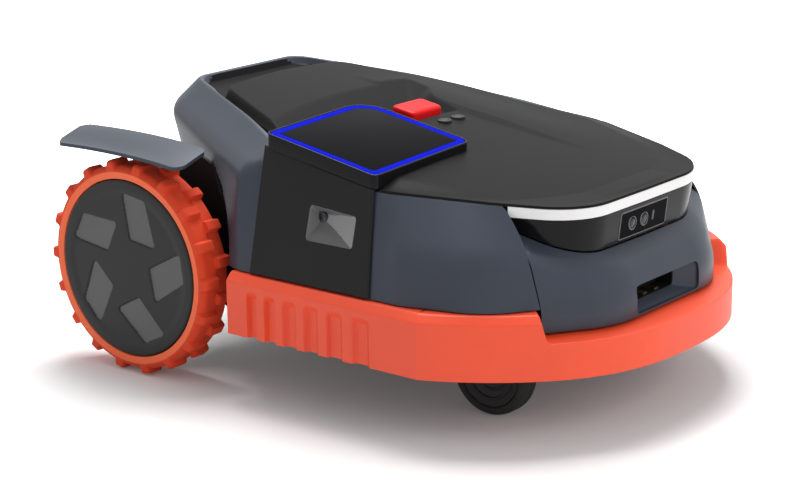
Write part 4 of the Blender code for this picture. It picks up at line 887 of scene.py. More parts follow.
@dataclass
class Cover:
    """Charcoal cover with a scoop behind the stop button and a ridge that runs forward from it.

    Attributes:
        points: points round the cover.
        rows: rings from the edge to the spine.
        ridge: height of the ridge.
    """

    points: int = 860
    rows: int = 96
    ridge: float = 0.0030

    def height(self, p: np.ndarray) -> np.ndarray:
        """Height of the cover away from its edge: crown, ridge and scoop."""
        x, y = p[..., 0], p[..., 1]
        crown = crown_z(x, y)
        fade = ease((y + 0.215) / 0.20) * (1.0 - ease((y - 0.08) / 0.10))
        step = ease((x - 0.056) / 0.016) * (1.0 - ease((x - 0.085) / 0.085))
        crown = crown + self.ridge * fade * step
        rear = SCOOP_Z + (y - 0.066) * 0.40
        lean = mix(0.72, 0.36, ease((y - 0.040) / 0.043))
        right = SCOOP_Z + (x - 0.053) * lean
        front = SCOOP_Z + (0.004 - y) * 5.0
        hollow = soft_max(soft_max(rear, right, 0.003), np.maximum(front, SCOOP_Z), 0.002)
        return soft_min(crown, hollow, 0.0012)

    def build(self) -> bpy.types.Object:
        """Rings that shrink from the outline to a spine, raised to the height and drawn down at the edge."""
        turns = np.linspace(0.0, 2 * pi, self.points, endpoint=False)
        rim = COVER.ring(turns)
        spine = np.stack([np.zeros(self.points), np.clip(rim[:, 1], -0.22, 0.16)], 1)
        share = np.concatenate([[1.0, 0.9985, 0.995], np.linspace(0.99, 0.0, self.rows)])[:, None]
        plan = mix(spine, rim, share[..., None])
        foot = top_z(rim)
        edge = foot + mix(0.0, 0.0025, np.sqrt(np.clip((1.0 - share) / 0.005, 0.0, 1.0)))
        fall = mix(0.16, 0.06, ease(rim[:, 1] / 0.10))
        outer = lifted(plan, mix(np.maximum(self.height(plan), top_z(plan) + 0.0022), edge, ease(1.0 - (1.0 - share) / fall)))
        inner = lifted(plan, outer[..., 2] - 0.0002 - 0.0038 * ease((1.0 - share) / 0.03))
        middle = (np.mean(STOP_X), np.mean(STOP_Y))
        half = ((STOP_X[1] - STOP_X[0]) / 2 + 0.0006, (STOP_Y[1] - STOP_Y[0]) / 2 + 0.0006)
        notch = (np.mean(DISPLAY_X) - 0.05, np.mean(DISPLAY_Y))
        size = ((DISPLAY_X[1] - DISPLAY_X[0]) / 2 + 0.05, (DISPLAY_Y[1] - DISPLAY_Y[0]) / 2)
        holes = [
            lambda p: rounded_field(p[..., 0] - middle[0], p[..., 1] - middle[1], half, 0.006),
            lambda p: rounded_field(p[..., 0] - notch[0], p[..., 1] - notch[1], size, 0.037)]
        holes += [lambda p, k=k: np.hypot(p[..., 0] - k[0], p[..., 1] - k[1]) - KEY_R - 0.0005 for k in KEYS]
        keep = None
        for hole in holes:
            outer, inner, keep = opened(outer, inner, hole, keep, True)
        made = sheet("cover_surface", outer, inner, CHARCOAL_AND_PAINTED_SHADE, keep, True, False, 50.0)
        return ride(made, Body.CHASSIS, "charcoal_plastic", "top_cover")


@dataclass
class Nose:
    """Glossy camera bar under the cover's front edge, its window and the light strip over it."""

    def path(self, reach: float) -> np.ndarray:
        """Cover outline round the nose, from -X to +X, as far back as a place along Y."""
        turns = np.linspace(-1.2, 1.2, 2400)
        ring = COVER.ring(turns)
        ring = ring[ring[:, 1] < reach]
        run = np.concatenate([[0.0], np.cumsum(np.linalg.norm(np.diff(ring, axis=0), axis=1))])
        even = np.linspace(0.0, run[-1], 360)
        return np.stack([np.interp(even, run, ring[:, axis]) for axis in (0, 1)], 1)

    def bar(self) -> bpy.types.Object:
        """Bar: a leaning face between the fascia's brow and the strip, run along the nose."""
        path = self.path(-0.2095)
        lip = inset(path, 0.006, False)
        sole = sole_z(lip) + 0.0004
        roof = top_z(path) - GAP
        step = roof - GAP - mix(STRIP_H, 0.0, ease((path[:, 1] - STRIP_END) / 0.003))
        step = np.maximum(step, sole + 0.0003)
        levels = np.stack([
            lifted(inset(path, 0.020, False), sole), lifted(lip, sole), lifted(inset(path, 0.0008, False), step),
            lifted(inset(path, STRIP_T + GAP, False), step), lifted(inset(path, STRIP_T + 2 * GAP, False), np.maximum(roof, step)),
            lifted(inset(path, 0.020, False), np.maximum(roof, step))])
        made = skin("bar_surface", soften(levels, [0.0, 0.0016, 0.0008, 0.0, 0.0, 0.0], True), GLOSS, ring=True)
        return ride(made, Body.CHASSIS, "gloss_black", "camera_bar")

    def strip(self) -> bpy.types.Object:
        """Strip: a rounded milky band along the nose with leaning ends."""
        path = self.path(STRIP_END)
        back = inset(path, STRIP_T, False)
        roof = top_z(path) - GAP
        levels = np.stack([lifted(path, roof - STRIP_H), lifted(path, roof), lifted(back, roof), lifted(back, roof - STRIP_H)])
        made = skin("strip_surface", soften(levels, [0.0012, 0.0012, 0.0, 0.0], True), MILK, ring=True)
        return ride(made, Body.CHASSIS, "white_plastic", "light_strip")

    def build(self) -> None:
        """Make the pieces of the nose."""
        self.bar()
        self.strip()


@dataclass
class Display:
    """Display slab on the right shoulder with its blue frame, and the satin panel down the side."""

    def outline(self, shrink: float) -> np.ndarray:
        """Plan outline of the slab, drawn in by a margin."""
        xs = (DISPLAY_X[0] + shrink, DISPLAY_X[1] - shrink)
        ys = (DISPLAY_Y[0] + shrink, DISPLAY_Y[1] - shrink)
        return rounded(xs, ys, [max(r - shrink, 0.003) for r in (0.008, 0.012, 0.036, 0.008)], 16)

    def level(self, shrink: float, sink: float) -> np.ndarray:
        """Outline on the sloping top plane, a depth below it."""
        plan = self.outline(shrink)
        return lifted(plan, display_top(plan, sink))

    def slab(self) -> bpy.types.Object:
        """Housing: the outline from the foot to the top plane with a rounded edge and a shallow tray."""
        low = self.outline(0.0003)
        plan = self.outline(0.0)
        levels = np.stack([lifted(low, display_foot(low)), lifted(plan, display_foot(plan) + 0.0006), self.level(0.0, 0.0),
                           self.level(0.002, 0.0), self.level(0.0022, 0.0024)])
        grid = soften(levels, [0.0, 0.0002, 0.0014, 0.0003, 0.0])
        made = skin("slab_surface", grid, GLOSS, around=True)
        return ride(made, Body.CHASSIS, "gloss_black", "display_housing")

    def light(self) -> bpy.types.Object:
        """Frame: a flat band round the glass, a little domed."""
        levels = np.stack([self.level(0.0026, 0.0020), self.level(0.0026, 0.0002), self.level(0.0112, 0.0002),
                           self.level(0.0112, 0.0020)])
        grid = soften(levels, [0.0, 0.0007, 0.0007, 0.0], True)
        made = skin("light_frame_surface", grid, BLUE, around=True, ring=True)
        return ride(made, Body.CHASSIS, "blue_plastic", "display_light_frame")

    def glass(self) -> bpy.types.Object:
        """Glass: a flat pane inside the frame."""
        levels = np.stack([self.level(0.0115, 0.0020), self.level(0.0115, 0.0004), self.level(0.0121, 0.0003)])
        made = skin("glass_surface", levels, SCREEN, around=True)
        return ride(made, Body.CHASSIS, "gloss_black", "display_glass")

    def panel(self) -> bpy.types.Object:
        """Panel: a leaning sheet from the sill to the slab with rounded edges and the camera opening."""
        share = np.unique(np.concatenate([np.linspace(0, 0.02, 8), np.linspace(0.02, 0.98, 70), np.linspace(0.98, 1.0, 8)]))
        up = share[:, None]
        along = np.unique(np.concatenate([np.linspace(0, 0.02, 8), np.linspace(0.02, 0.98, 90), np.linspace(0.98, 1.0, 8)]))
        y = mix(mix(-0.116, -0.100, up), mix(0.058, 0.064, up), along[None, :])
        foot = np.stack([np.zeros_like(y), y], -1)
        z = mix(SILL_Z + 0.0015, display_foot(foot) - 0.5 * GAP, up)
        border = np.minimum.reduce([np.minimum(up, 1 - up) * 0.115 + 0 * y, np.minimum(along, 1 - along)[None, :] * 0.16 + 0 * y])
        dip = 1.0 - np.clip(border / 0.0022, 0.0, 1.0)
        depth = 0.0036 - 0.0020 * (1.0 - np.sqrt(1.0 - dip ** 2))
        outer = np.stack([-side_x(z) - depth, y, z], -1)
        inner = np.stack([-side_x(z) - 3 * GAP, y, z], -1)
        low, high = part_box("side_camera_bezel")
        middle = ((low.y + high.y) / 2, (low.z + high.z) / 2)
        half = ((high.y - low.y) / 2 + 0.0002, (high.z - low.z) / 2 + 0.0002)

        def window(p: np.ndarray) -> np.ndarray:
            """Distance to the camera opening, whose top edge falls towards the front."""
            slope = (p[..., 1] - high.y) * 0.06
            return rounded_field(p[..., 1] - middle[0], p[..., 2] - middle[1] - np.where(p[..., 2] > middle[1], slope, 0.0), half, 0.004)
        outer, inner, keep = opened(outer, inner, window, None, False)
        made = sheet("side_panel_surface", outer, inner, PANEL, keep)
        return ride(made, Body.CHASSIS, "grey_plastic", "right_side_panel")

    def build(self) -> None:
        """Make the pieces of the display."""
        self.slab()
        self.light()
        self.glass()
        self.panel()


@dataclass
class Controls:
    """Red stop button with soft edges and the two round keys."""

    def build(self) -> bpy.types.Object:
        """Loft the button's outline up to a sloping, rounded top."""
        def level(shrink: float, z: Union[float, np.ndarray]) -> np.ndarray:
            """Outline drawn in by a margin at a height."""
            plan = rounded((STOP_X[0] + shrink, STOP_X[1] - shrink), (STOP_Y[0] + shrink, STOP_Y[1] - shrink), [0.006 - 0.3 * shrink] * 4, 12)
            return lifted(plan, z)
        base = level(0.0, 0.0)
        slope = STOP_Z + 0.175 * (base[:, 1] - STOP_Y[0])
        top = level(0.0035, 0.0)
        brow = STOP_Z + 0.175 * (top[:, 1] - STOP_Y[0])
        heart = level(0.012, 0.0)
        dish = STOP_Z + 0.175 * (heart[:, 1] - STOP_Y[0]) - 0.0002
        levels = np.stack([level(0.0, SCOOP_Z - 0.006), level(0.0, slope - 0.0018), level(0.0035, brow), level(0.012, dish)])
        made = skin("stop_surface", soften(levels, [0.0, 0.0034, 0.0034, 0.0]), RED, around=True)
        for name, body, (x, y) in zip(("power_key", "menu_key"), (Body.POWER_KEY, Body.MENU_KEY), KEYS):
            z = float(crown_z(np.array(x), np.array(y)))
            profile = [(KEY_R, z - 0.006), (KEY_R, z + 0.0016), (KEY_R - 0.0009, z + 0.0024), (KEY_R * 0.70, z + 0.0024),
                       (KEY_R * 0.60, z + 0.0018), (0.0001, z + 0.0018)]
            grid = turned(profile, (x, y, 0.0), "Z", 72, [0.0, 0.0006, 0.0005, 0.0005, 0.0005, 0.0])
            ride(skin(name + "_surface", grid, GREY, around=True), body, "grey_plastic", name)
        return ride(made, Body.STOP, "red_plastic", "stop_button")


@dataclass
class DriveWheel:
    """Lugged orange tyre and the hub cap with five inset panels.

    Attributes:
        side: -1 for the right wheel, 1 for the left one.
        body: body that the wheel turns with.
        name: word that the wheel's nodes begin with.
    """

    side: int
    body: Body
    name: str

    def tyre(self) -> bpy.types.Object:
        """Tyre: a rounded section swept round the axle, raised by two staggered rows of lugs.

        The lug field is a flat-topped wave along the turn times a flat-topped wave across the tread.
        """
        outer, inner = WHEEL_X, WHEEL_X - TYRE_W
        corners = np.array([(CAP_R + GAP, outer - 0.006, 0), (CAP_R + 0.0012, outer - 0.0012, 0), (TREAD_R - 0.0035, outer, 0), (TREAD_R, outer - 0.004, 0),
                            (TREAD_R, inner + 0.004, 0), (TREAD_R - 0.004, inner, 0), (CAP_R + GAP, inner, 0)])[:, None, :]
        section = refine(soften(corners, [0.0, 0.001, 0.0022, 0.003, 0.003, 0.003, 0.0]), 0.0016)[:, 0]
        radius, across = section[:, :1], section[:, 1:2]
        turn = np.linspace(0.0, 2 * pi, LUGS * 44, endpoint=False)[None, :]
        pitch = 2 * pi / LUGS
        rise = np.zeros((len(section), turn.shape[1]))
        for row, shift in ((1, 0.0), (-1, 0.5)):
            near = (turn / pitch + shift + 0.5) % 1.0 - 0.5
            away = np.abs(near) * pitch
            wave = 1.0 - ease((away - LUG_HALF) / radians(1.5))
            middle = (across - (outer + inner) / 2) * row
            band = ease((middle + 0.0030) / 0.004)
            rise = np.maximum(rise, wave * band)
        edge = ease((radius - (TREAD_R - 0.0075)) / 0.0055)
        top = WHEEL_R * cos(LUG_HALF) / np.cos(np.minimum(np.abs((turn / pitch * 2 + 0.5) % 1.0 - 0.5) * pitch / 2, LUG_HALF))
        reach = radius + (top - TREAD_R) * rise * edge
        flank = across - np.sign(across - (outer + inner) / 2) * 0.0022 * (1.0 - rise) * edge
        grid = np.stack([self.side * np.broadcast_to(flank, reach.shape), AXLE_Y + reach * np.cos(turn), AXLE_Z + reach * np.sin(turn)], -1)
        made = skin(self.name + "_tyre_surface", grid, ORANGE_RUBBER, around=True, ring=True, sharp=42.0)
        marked(made, SIDE_RUBBER, lambda c: (np.abs(c[:, 0]) > outer - 0.0045)
               & (np.hypot(c[:, 1] - AXLE_Y, c[:, 2] - AXLE_Z) < TREAD_R - 0.0072))
        return ride(made, self.body, "orange_rubber", self.name + "_tyre")

    def cap(self) -> bpy.types.Object:
        """Hub cap: polar sheet with five four-cornered pockets, each with a lip."""
        rings = np.concatenate([np.linspace(0.0005, 0.098, 94), np.linspace(0.0985, 0.1035, 4), CAP_R - 0.003 + 0.003 * np.sin(np.linspace(0.0, pi / 2, 7))])
        turn = np.linspace(0.0, 2 * pi, 450, endpoint=False)
        r, t = np.meshgrid(rings, turn, indexing="ij")
        y, z = r * np.cos(t), r * np.sin(t)
        drop = np.where(r > CAP_R - 0.003, 0.003 - np.sqrt(np.maximum(0.003 ** 2 - (r - CAP_R + 0.003) ** 2, 0.0)), 0.0)
        field = np.full(r.shape, 1.0)
        for corners in self.pockets():
            field = np.minimum(field, polygon_field(y, z, corners) - 0.0045)
        sink = 0.0018 * (1.0 - ease((field + 0.0012) / 0.0012))
        dish = 0.0011 * (1.0 - ease((r - 0.086) / 0.012))
        outer = np.stack([self.side * (WHEEL_X - drop - sink - dish), AXLE_Y + y, AXLE_Z + z], -1)
        inner = np.stack([self.side * np.full(r.shape, WHEEL_X - 0.0076), AXLE_Y + y, AXLE_Z + z], -1)
        made = sheet(self.name + "_cap_surface", outer, inner, GREY, None, True, True, 60.0)
        def inside(c: np.ndarray) -> np.ndarray:
            """Faces on the floors of the pockets."""
            away = [polygon_field(c[:, 1] - AXLE_Y, c[:, 2] - AXLE_Z, corners) for corners in self.pockets()]
            return (np.min(away, axis=0) < 0.0033) & (np.abs(c[:, 0]) > WHEEL_X - 0.006)
        marked(made, INLAY_AND_PAINTED_SHADE, inside)
        return ride(made, self.body, "grey_plastic", self.name + "_hub_cap")

    def pockets(self) -> list[np.ndarray]:
        """Corners of the five pockets, drawn in by their rounding."""
        shapes = []
        for k in range(5):
            start = radians(28 + 72 * k)
            polar = ((0.0875, 0.165), (0.0545, 0.70), (0.0405, 0.05), (0.0875, -0.165))
            shapes.append(np.array([(r * cos(a + start), r * sin(a + start)) for r, a in polar]))
        return shapes

    def build(self) -> None:
        """Make tyre and cap."""
        self.tyre()
        self.cap()


def polygon_field(x: np.ndarray, y: np.ndarray, corners: np.ndarray) -> np.ndarray:
    """Distance to a convex polygon, below 0 inside it."""
    away = np.full(x.shape, 1e9)
    inside = np.ones(x.shape, dtype=bool)
    area = np.sum(corners[:, 0] * np.roll(corners[:, 1], -1) - np.roll(corners[:, 0], -1) * corners[:, 1])
    for a, b in zip(corners, np.roll(corners, -1, 0)):
        run = b - a
        share = np.clip(((x - a[0]) * run[0] + (y - a[1]) * run[1]) / (run @ run), 0.0, 1.0)
        away = np.minimum(away, np.hypot(x - a[0] - share * run[0], y - a[1] - share * run[1]))
        left = run[0] * (y - a[1]) - run[1] * (x - a[0])
        inside &= (left * np.sign(area)) >= 0.0
    return np.where(inside, -away, away)


@dataclass
class Mudguard:
    """Slate guard over a drive wheel: a bent sheet with rounded corners.

    Attributes:
        side: -1 for the right guard, 1 for the left one.
        name: word that the guard's nodes begin with.
    """

    side: int
    name: str

    def build(self) -> bpy.types.Object:
        """Sheet over the wheel: along it in rows and across it in columns, with a turned-down outer edge."""
        along = np.linspace(0.0, 1.0, 120)[:, None]
        across = np.linspace(0.0, 1.0, 60)[None, :]
        y = mix(0.148, 0.353, along)
        near = 0.012 * np.clip(1 - along / 0.06, 0.0, 1.0) ** 2.4 + 0.014 * np.clip((along - 0.93) / 0.07, 0.0, 1.0) ** 2.4
        x = mix(WHEEL_X - 0.0005 - near, 0.225 + near * 0.6, across)
        out = WHEEL_X - x
        z = mix(0.2655, 0.2795, ease(out / 0.062) ** 0.8) + 0.0025 * along + 0.012 * along * (1.0 - along) - 0.003 * (1.0 - along) ** 4
        y = np.broadcast_to(y, x.shape)
        outer = np.stack([self.side * x, y, z], -1)
        inner = outer - (0.0, 0.0, 0.0042)
        made = sheet(self.name + "_guard_surface", outer, inner, SLATE)
        return ride(made, Body.CHASSIS, "slate_plastic", self.name + "_mudguard")




def marked(made: bpy.types.Object, finish: Finish, chosen: Callable[[np.ndarray], np.ndarray]) -> bpy.types.Object:
    """Give the faces whose middles a test picks another finish."""
    mesh = made.data
    mesh.materials.append(finish.material())
    middle = np.zeros(len(mesh.polygons) * 3)
    mesh.polygons.foreach_get("center", middle)
    index = np.zeros(len(mesh.polygons), dtype=np.int32)
    mesh.polygons.foreach_get("material_index", index)
    index[chosen(middle.reshape(-1, 3))] = len(mesh.materials) - 1
    mesh.polygons.foreach_set("material_index", index)
    return made


@dataclass
class CameraWindow:
    """Pane in a thin rim on the camera bar, with two lenses and an upright lamp.

    Attributes:
        half: half the width of the pane.
        low: height of the pane's lower edge.
        high: height of its upper edge.
        middle: place of its middle along X.
    """

    half: float = 0.049
    low: float = 0.2005
    high: float = 0.2330
    middle: float = -0.003

    def face(self, x: np.ndarray, z: np.ndarray) -> np.ndarray:
        """Place along Y of the bar's leaning face."""
        ring = COVER.ring(np.linspace(-0.4, 0.4, 800))
        share = (z - BAR_Z - 0.0006) / 0.0409
        return np.interp(x, ring[:, 0], ring[:, 1]) + mix(0.006, 0.0008, share)

    def border(self, p: np.ndarray) -> np.ndarray:
        """Distance to the pane's rounded outline, below 0 inside it."""
        middle = (self.low + self.high) / 2
        return rounded_field(p[..., 0] - self.middle, p[..., 2] - middle, (self.half, (self.high - self.low) / 2), 0.004)

    def pane(self) -> bpy.types.Object:
        """Pane: the bar's face lifted a little, with a raised rim that follows the outline."""
        spare = 0.001
        x, z = np.meshgrid(self.middle + np.linspace(-self.half - spare, self.half + spare, 260),
                           np.linspace(self.low - spare, self.high + spare, 130))
        flat = np.stack([x, np.zeros_like(x), z], -1)
        rim = 1.0 - ease((np.abs(self.border(flat) + 0.0010) - 0.0004) / 0.0006)
        outer = np.stack([x, self.face(x, z) - 0.0003 - 0.0006 * rim, z], -1)
        outer, inner, keep = opened(outer, outer + (0.0, 0.0015, 0.0), lambda p: -self.border(p), None, False)
        made = sheet("window_surface", outer, inner, SCREEN, keep)
        marked(made, RIM_GREY_AND_PAINTED_LIGHT, lambda c: self.border(c) > -0.0016)
        return ride(made, Body.CHASSIS, "lens_glass", "camera_window")

    def lens(self, name: str, x: float) -> bpy.types.Object:
        """Lens: a stepped ring round a shallow dome, turned about Y; the ring's grey is a painted highlight."""
        z = (self.low + self.high) / 2
        front = float(self.face(np.array(x), np.array(z))) - 0.0004
        profile = [(0.0082, front + 0.001), (0.0082, front - 0.0007), (0.0069, front - 0.0009), (0.0064, front - 0.0001),
                   (0.0052, front - 0.0006), (0.0030, front - 0.0010), (0.0001, front - 0.0012)]
        grid = turned(profile, (x, 0.0, z), "Y", 64, [0.0, 0.0004, 0.0004, 0.0002, 0.001, 0.001, 0.0])
        made = skin(name + "_surface", grid, LENS, around=True)
        # Painted highlight: the outer ring is grey so that the lens reads bright.
        marked(made, RIM_GREY_AND_PAINTED_LIGHT, lambda c: np.hypot(c[:, 0] - x, c[:, 2] - z) > 0.0068)
        return ride(made, Body.CHASSIS, "lens_glass", name)

    def lamp(self) -> bpy.types.Object:
        """Lamp: an upright rounded bar."""
        def level(shrink: float, out: float) -> np.ndarray:
            """Outline drawn in by a margin, a little in front of the pane."""
            flat = rounded((0.0145 + shrink, 0.0185 - shrink), (0.2110 + shrink, 0.2230 - shrink), [0.0019 - shrink] * 4, 8)
            return np.stack([flat[:, 0], self.face(flat[:, 0], flat[:, 1]) - out, flat[:, 1]], 1)
        levels = np.stack([level(0.0, -0.001), level(0.0, 0.0006), level(0.0006, 0.0010), level(0.0014, 0.0011)])
        made = skin("lamp_surface", soften(levels, [0.0, 0.0003, 0.0003, 0.0]), INLAY_AND_PAINTED_SHADE, around=True)
        return ride(made, Body.CHASSIS, "white_plastic", "camera_lamp")

    def build(self) -> None:
        """Make pane, lenses and lamp."""
        self.pane()
        self.lens("camera_lens_right", -0.0265)
        self.lens("camera_lens_left", -0.0025)
        self.lamp()


@dataclass
class ChargePort:
    """Flared mouth of the charging slot and the dark throat behind it."""

    def mouth(self, shrink: float) -> np.ndarray:
        """Outline of the slot in X and Z, drawn in by a margin."""
        return rounded((shrink - 0.0657, 0.0657 - shrink), (0.1260 + shrink, 0.1582 - shrink), [0.006] * 4, 10)

    def wall(self, flat: np.ndarray) -> np.ndarray:
        """Place along Y of the fascia's face."""
        ring = SILL.ring(np.linspace(-0.4, 0.4, 800))
        return np.interp(flat[:, 0], ring[:, 0], ring[:, 1]) + np.maximum(flat[:, 1] - SILL_Z, 0.0) * 0.33

    def build(self) -> bpy.types.Object:
        """Loft from the slot's edge down to the throat and its floor."""
        edge = self.mouth(0.0)
        lip = self.mouth(0.0004)
        throat = rounded((-0.0375, 0.0375), (0.1335, 0.1515), [0.004] * 4, 10)
        back = rounded((-0.0001, 0.0001), (0.1429, 0.1431), [0.00002] * 4, 10)
        place = lambda flat, y: np.stack([flat[:, 0], np.broadcast_to(y, len(flat)), flat[:, 1]], 1)
        levels = np.stack([place(edge, self.wall(edge) + 0.0022), place(lip, self.wall(lip) + 0.0042), place(throat, -0.318),
                           place(throat, -0.2975), place(back, -0.2975)])
        grid = refine(soften(levels, [0.0, 0.0008, 0.001, 0.0006, 0.0]), 0.004)
        made = skin("port_surface", grid, SLATE, around=True, caps=False)
        marked(made, BLACK, lambda c: c[:, 1] > -0.3185)
        return ride(made, Body.CHASSIS, "black_plastic", "charging_socket")


@dataclass
class SideEye:
    """Faceted pocket in the side panel with a lens at its deepest point; its facets carry painted light and shade."""

    def place(self, flat: np.ndarray, depth: float) -> np.ndarray:
        """Points of an outline in Y and Z, a depth behind the panel's face."""
        return np.stack([-side_x(flat[:, 1]) - 0.0036 + depth, flat[:, 0], flat[:, 1]], 1)

    def build(self) -> bpy.types.Object:
        """Four flat facets from the opening in to a small field round the lens, in three greys that are painted light
        and shade: lightest in front, darker on top and at the rear, darkest at the bottom.
        """
        low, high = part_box("side_camera_bezel")
        def edge(shrink: float) -> np.ndarray:
            """Outline of the opening, drawn in by a margin."""
            corners = np.array([(low.y + shrink, low.z + shrink), (high.y - shrink, low.z + shrink),
                                (high.y - shrink, high.z - shrink), (low.y + shrink, high.z - 0.004 - shrink)])
            return polygon(corners, [0.004, 0.004, 0.004, 0.004], 10)
        y, z = mix(high.y, low.y, 0.19), mix(high.z, low.z, 0.37)
        field = rounded((y - 0.0052, y + 0.0052), (z - 0.0052, z + 0.0052), [0.0012] * 4, 10)
        point = rounded((y - 0.0001, y + 0.0001), (z - 0.0001, z + 0.0001), [0.00002] * 4, 10)
        levels = np.stack([self.place(edge(0.0), 0.0004), self.place(edge(0.0012), 0.0012), self.place(field, 0.0112),
                           self.place(point, 0.0112)])
        made = skin("eye_surface", refine(levels, 0.004), FACET_PAINTED_LIGHT, around=True, caps=False, sharp=20.0)

        def shares(c: np.ndarray) -> np.ndarray:
            """How far each face lies towards the front, bottom, top and rear edge of the opening."""
            return np.stack([(y - c[:, 1]) / (y - low.y), (z - c[:, 2]) / (z - low.z), (c[:, 2] - z) / (high.z - z),
                             (c[:, 1] - y) / (high.y - y)])
        # Painted shade: the top and rear facets get a darker grey than the front one.
        marked(made, RIM_GREY_AND_PAINTED_LIGHT, lambda c: shares(c).argmax(axis=0) > 1)
        # Painted shade: the bottom facet gets the darkest grey.
        marked(made, INLAY_AND_PAINTED_SHADE, lambda c: shares(c).argmax(axis=0) == 1)
        ride(made, Body.CHASSIS, "black_plastic", "side_camera_bezel")
        front = float(-side_x(z)) - 0.0036 + 0.0108
        profile = [(0.0062, front + 0.002), (0.0062, front - 0.0010), (0.0050, front - 0.0014), (0.0046, front - 0.0004),
                   (0.0030, front - 0.0010), (0.0001, front - 0.0014)]
        grid = turned(profile, (0.0, y, z), "X", 56, [0.0, 0.0004, 0.0004, 0.0002, 0.001, 0.0])
        made = skin("eye_lens_surface", grid, LENS, around=True)
        return ride(made, Body.CHASSIS, "lens_glass", "side_camera_lens")


@dataclass
class Caster:
    """Front caster wheel with concentric ribs and its rubber tyre.

    Attributes:
        side: -1 for the right caster, 1 for the left one.
        body: body that the wheel turns with.
        name: word that the caster's nodes begin with.
    """

    side: int
    body: Body
    name: str

    def build(self) -> None:
        """Turn the wheel and the tyre about the caster's axle."""
        hub = (self.side * CASTER_X, CASTER_Y, CASTER_R)
        half = [(0.0046, 0.0158), (0.0094, 0.0158), (0.0104, 0.0148), (0.0118, 0.0070), (0.0185, 0.0084), (0.0191, 0.0098),
                (0.0214, 0.0100), (0.0220, 0.0090), (0.0285, 0.0102), (0.0291, 0.0116), (0.0314, 0.0118), (0.0320, 0.0108),
                (0.0394, 0.0122), (0.0398, 0.0118)]
        profile = [(r, -a) for r, a in half] + half[::-1]
        grid = turned(profile, hub, "X", 96, [0.0003] * len(profile), True)
        made = skin(self.name + "_caster_surface", grid, GREY, around=True, ring=True)
        ride(made, self.body, "grey_plastic", self.name + "_caster_wheel")
        half = [(0.0404, 0.0128), (0.0428, 0.0146), (0.0462, 0.0148), (0.0482, 0.0126), (0.0500, 0.0080), (0.0500, 0.0028),
                (0.0492, 0.0020)]
        profile = [(r, -a) for r, a in half] + half[::-1]
        radii = [0.0, 0.001, 0.002, 0.002, 0.002, 0.0004, 0.0004]
        grid = turned(profile, hub, "X", 128, radii + radii[::-1], True)
        made = skin(self.name + "_caster_tyre_surface", grid, RUBBER, around=True, ring=True)
        ride(made, self.body, "black_rubber", self.name + "_caster_tyre")


@dataclass
class ArchLiner:
    """Black lining of a wheel arch, from low in front of the wheel to the mudguard.

    Attributes:
        side: -1 for the right arch, 1 for the left one.
        name: word that the liner's node begins with.
    """

    side: int
    name: str

    def build(self) -> bpy.types.Object:
        """Grid from the hub over the inner wall to the roof: along the turn in rows and across in columns."""
        turn = np.linspace(radians(-32.0), radians(118.0), 120)[:, None]

        def lining(radius: float, inner: float) -> np.ndarray:
            """Wall at a place across, which turns outward into a roof at a radius."""
            y = AXLE_Y - radius * np.cos(turn)
            brim = np.clip(0.2545 - 0.73 * (y - 0.088), inner + 0.0004, 0.2165)
            out, up = np.linspace(0.045, radius, 16)[None, :], np.linspace(0.1, 1.0, 10)[None, :]
            reach = np.concatenate([np.repeat(out, 120, axis=0), np.full((120, 10), radius)], axis=1)
            x = np.concatenate([np.full((120, 16), inner), mix(inner, brim, up)], axis=1)
            return np.stack([self.side * x, AXLE_Y - reach * np.cos(turn), AXLE_Z + reach * np.sin(turn)], -1)
        made = sheet(self.name + "_liner_surface", lining(0.1366, 0.1945), lining(0.1380, 0.1925), BLACK)
        return ride(made, Body.CHASSIS, "black_plastic", self.name + "_arch_liner")


@dataclass
class PhotoView:
    """Camera that sees the machine as the photograph does.

    Attributes:
        azimuth: turn round the machine in degrees, 0 in front of it.
        elevation: height angle in degrees.
        roll: turn of the picture in degrees.
        distance: metres from the target.
        target: point in the middle of the picture.
        lens: focal length in millimetres on a 36 mm wide film.
    """

    azimuth: float = -51.5256
    elevation: float = 15.4561
    roll: float = -0.5927
    distance: float = 2.560
    target: tuple[float, float, float] = (0.0, 0.04523, 0.12768)
    lens: float = 93.98

    def build(self) -> bpy.types.Object:
        """Add the camera and make it the scene's own."""
        data = bpy.data.cameras.new("photo_camera")
        data.lens = self.lens
        data.sensor_width = 36.0
        data.sensor_fit = "HORIZONTAL"
        camera = bpy.data.objects.new("photo_camera", data)
        bpy.context.collection.objects.link(camera)
        turn, rise = radians(self.azimuth), radians(self.elevation)
        out = Vector((sin(turn) * cos(rise), -cos(turn) * cos(rise), sin(rise)))
        camera.location = Vector(self.target) + out * self.distance
        aim = (-out).to_track_quat("-Z", "Y")
        camera.matrix_world = (Matrix.Translation(camera.location) @ aim.to_matrix().to_4x4()
                               @ Matrix.Rotation(radians(self.roll), 4, "Z"))
        bpy.context.scene.camera = camera
        return camera


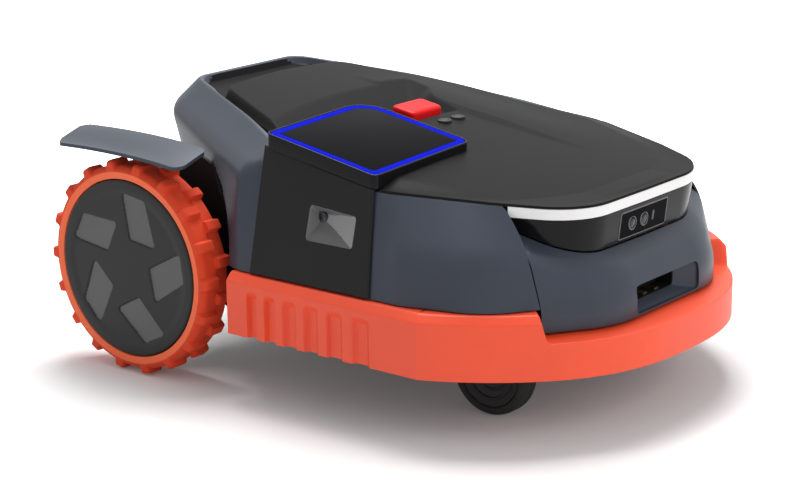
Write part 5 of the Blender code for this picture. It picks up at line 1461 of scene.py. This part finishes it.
@dataclass
class Studio:
    """White floor and soft light.

    Attributes:
        floor: width of the floor in metres.
        sky: strength of the even light from all round.
    """

    floor: float = 40.0
    sky: float = 0.53

    def lamp(self, name: str, place: tuple[float, float, float], aim: tuple[float, float, float], size: float,
             power: float) -> bpy.types.Object:
        """Add one square softbox that points at a spot."""
        data = bpy.data.lights.new(name, "AREA")
        data.shape = "SQUARE"
        data.size = size
        data.energy = power
        lamp = bpy.data.objects.new(name, data)
        bpy.context.collection.objects.link(lamp)
        lamp.location = place
        lamp.rotation_euler = (Vector(aim) - Vector(place)).to_track_quat("-Z", "Y").to_euler()
        return lamp

    def ground(self) -> bpy.types.Object:
        """Floor that keeps the shadow and is white to the camera elsewhere."""
        side = self.floor / 2
        mesh = bpy.data.meshes.new("floor")
        mesh.from_pydata([(-side, -side, 0), (side, -side, 0), (side, side, 0), (-side, side, 0)], [], [(0, 1, 2, 3)])
        made = bpy.data.materials.new("floor_white")
        tree = Tree(made)
        paint = tree.node("ShaderNodeBsdfDiffuse", {"Color": (0.80, 0.80, 0.80)})
        away = tree.node("ShaderNodeVectorMath", {0: tree.place()}, "Value", operation="LENGTH")
        glow = tree.node("ShaderNodeEmission", {"Color": (1.0, 1.0, 1.0), "Strength": 0.05 + away.ramp(0.35, 1.3) * 0.95})
        both = tree.node("ShaderNodeAddShader", {0: paint, 1: glow})
        seen = tree.node("ShaderNodeLightPath", {}, "Is Camera Ray")
        tree.finish(tree.node("ShaderNodeMixShader", {0: seen, 1: paint, 2: both}))
        mesh.materials.append(made)
        floor = bpy.data.objects.new("floor", mesh)
        bpy.context.collection.objects.link(floor)
        return floor

    def heaven(self) -> None:
        """World that lights evenly and is white to the camera and to mirrors."""
        world = bpy.data.worlds.new("studio")
        bpy.context.scene.world = world
        tree = Tree(world)
        path = tree.nodes.new("ShaderNodeLightPath")
        seen = Signal(tree, path.outputs["Is Camera Ray"]) + Signal(tree, path.outputs["Is Transmission Ray"])
        seen = seen + Signal(tree, path.outputs["Is Glossy Ray"])
        strength = self.sky + seen * (1.0 - self.sky)
        shine = tree.node("ShaderNodeBackground", {"Color": (1.0, 1.0, 1.0), "Strength": strength})
        end = tree.nodes.new("ShaderNodeOutputWorld")
        tree.links.new(shine.socket, end.inputs["Surface"])

    def build(self) -> None:
        """Add floor, world and lamps."""
        self.ground()
        self.heaven()
        self.lamp("rear_softbox", (0.7, 0.6, 2.7), (0.0, 0.0, 0.15), 1.6, 104.0)
        self.lamp("front_softbox", (0.1, -2.6, 1.5), (0.0, 0.0, 0.15), 1.8, 25.0).visible_glossy = False


def dress_nodes() -> None:
    """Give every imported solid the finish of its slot."""
    for row in frame["record"]["subparts"]:
        node = frame["nodes"][row["node"]]
        node.data.materials.clear()
        node.data.materials.append(SLOTS[row["material_slot"]].material())


def main() -> None:
    """Build the machine's looks in order."""
    logging.basicConfig(level=logging.INFO, format="%(message)s")
    bpy.context.scene.view_settings.view_transform = "Standard"
    PhotoView().build()
    Studio().build()
    dress_nodes()
    for piece in (Collar(), Bumper(), Cover(), Nose(), Display(), Controls(),
                  DriveWheel(-1, Body.RIGHT_WHEEL, "right"), DriveWheel(1, Body.LEFT_WHEEL, "left"),
                  Mudguard(-1, "right"), Mudguard(1, "left"), CameraWindow(), ChargePort(), SideEye(),
                  ArchLiner(-1, "right"), ArchLiner(1, "left"),
                  Caster(-1, Body.RIGHT_CASTER, "right"), Caster(1, Body.LEFT_CASTER, "left")):
        LOG.info("building %s", type(piece).__name__)
        piece.build()


if __name__ == "__main__":
    main()
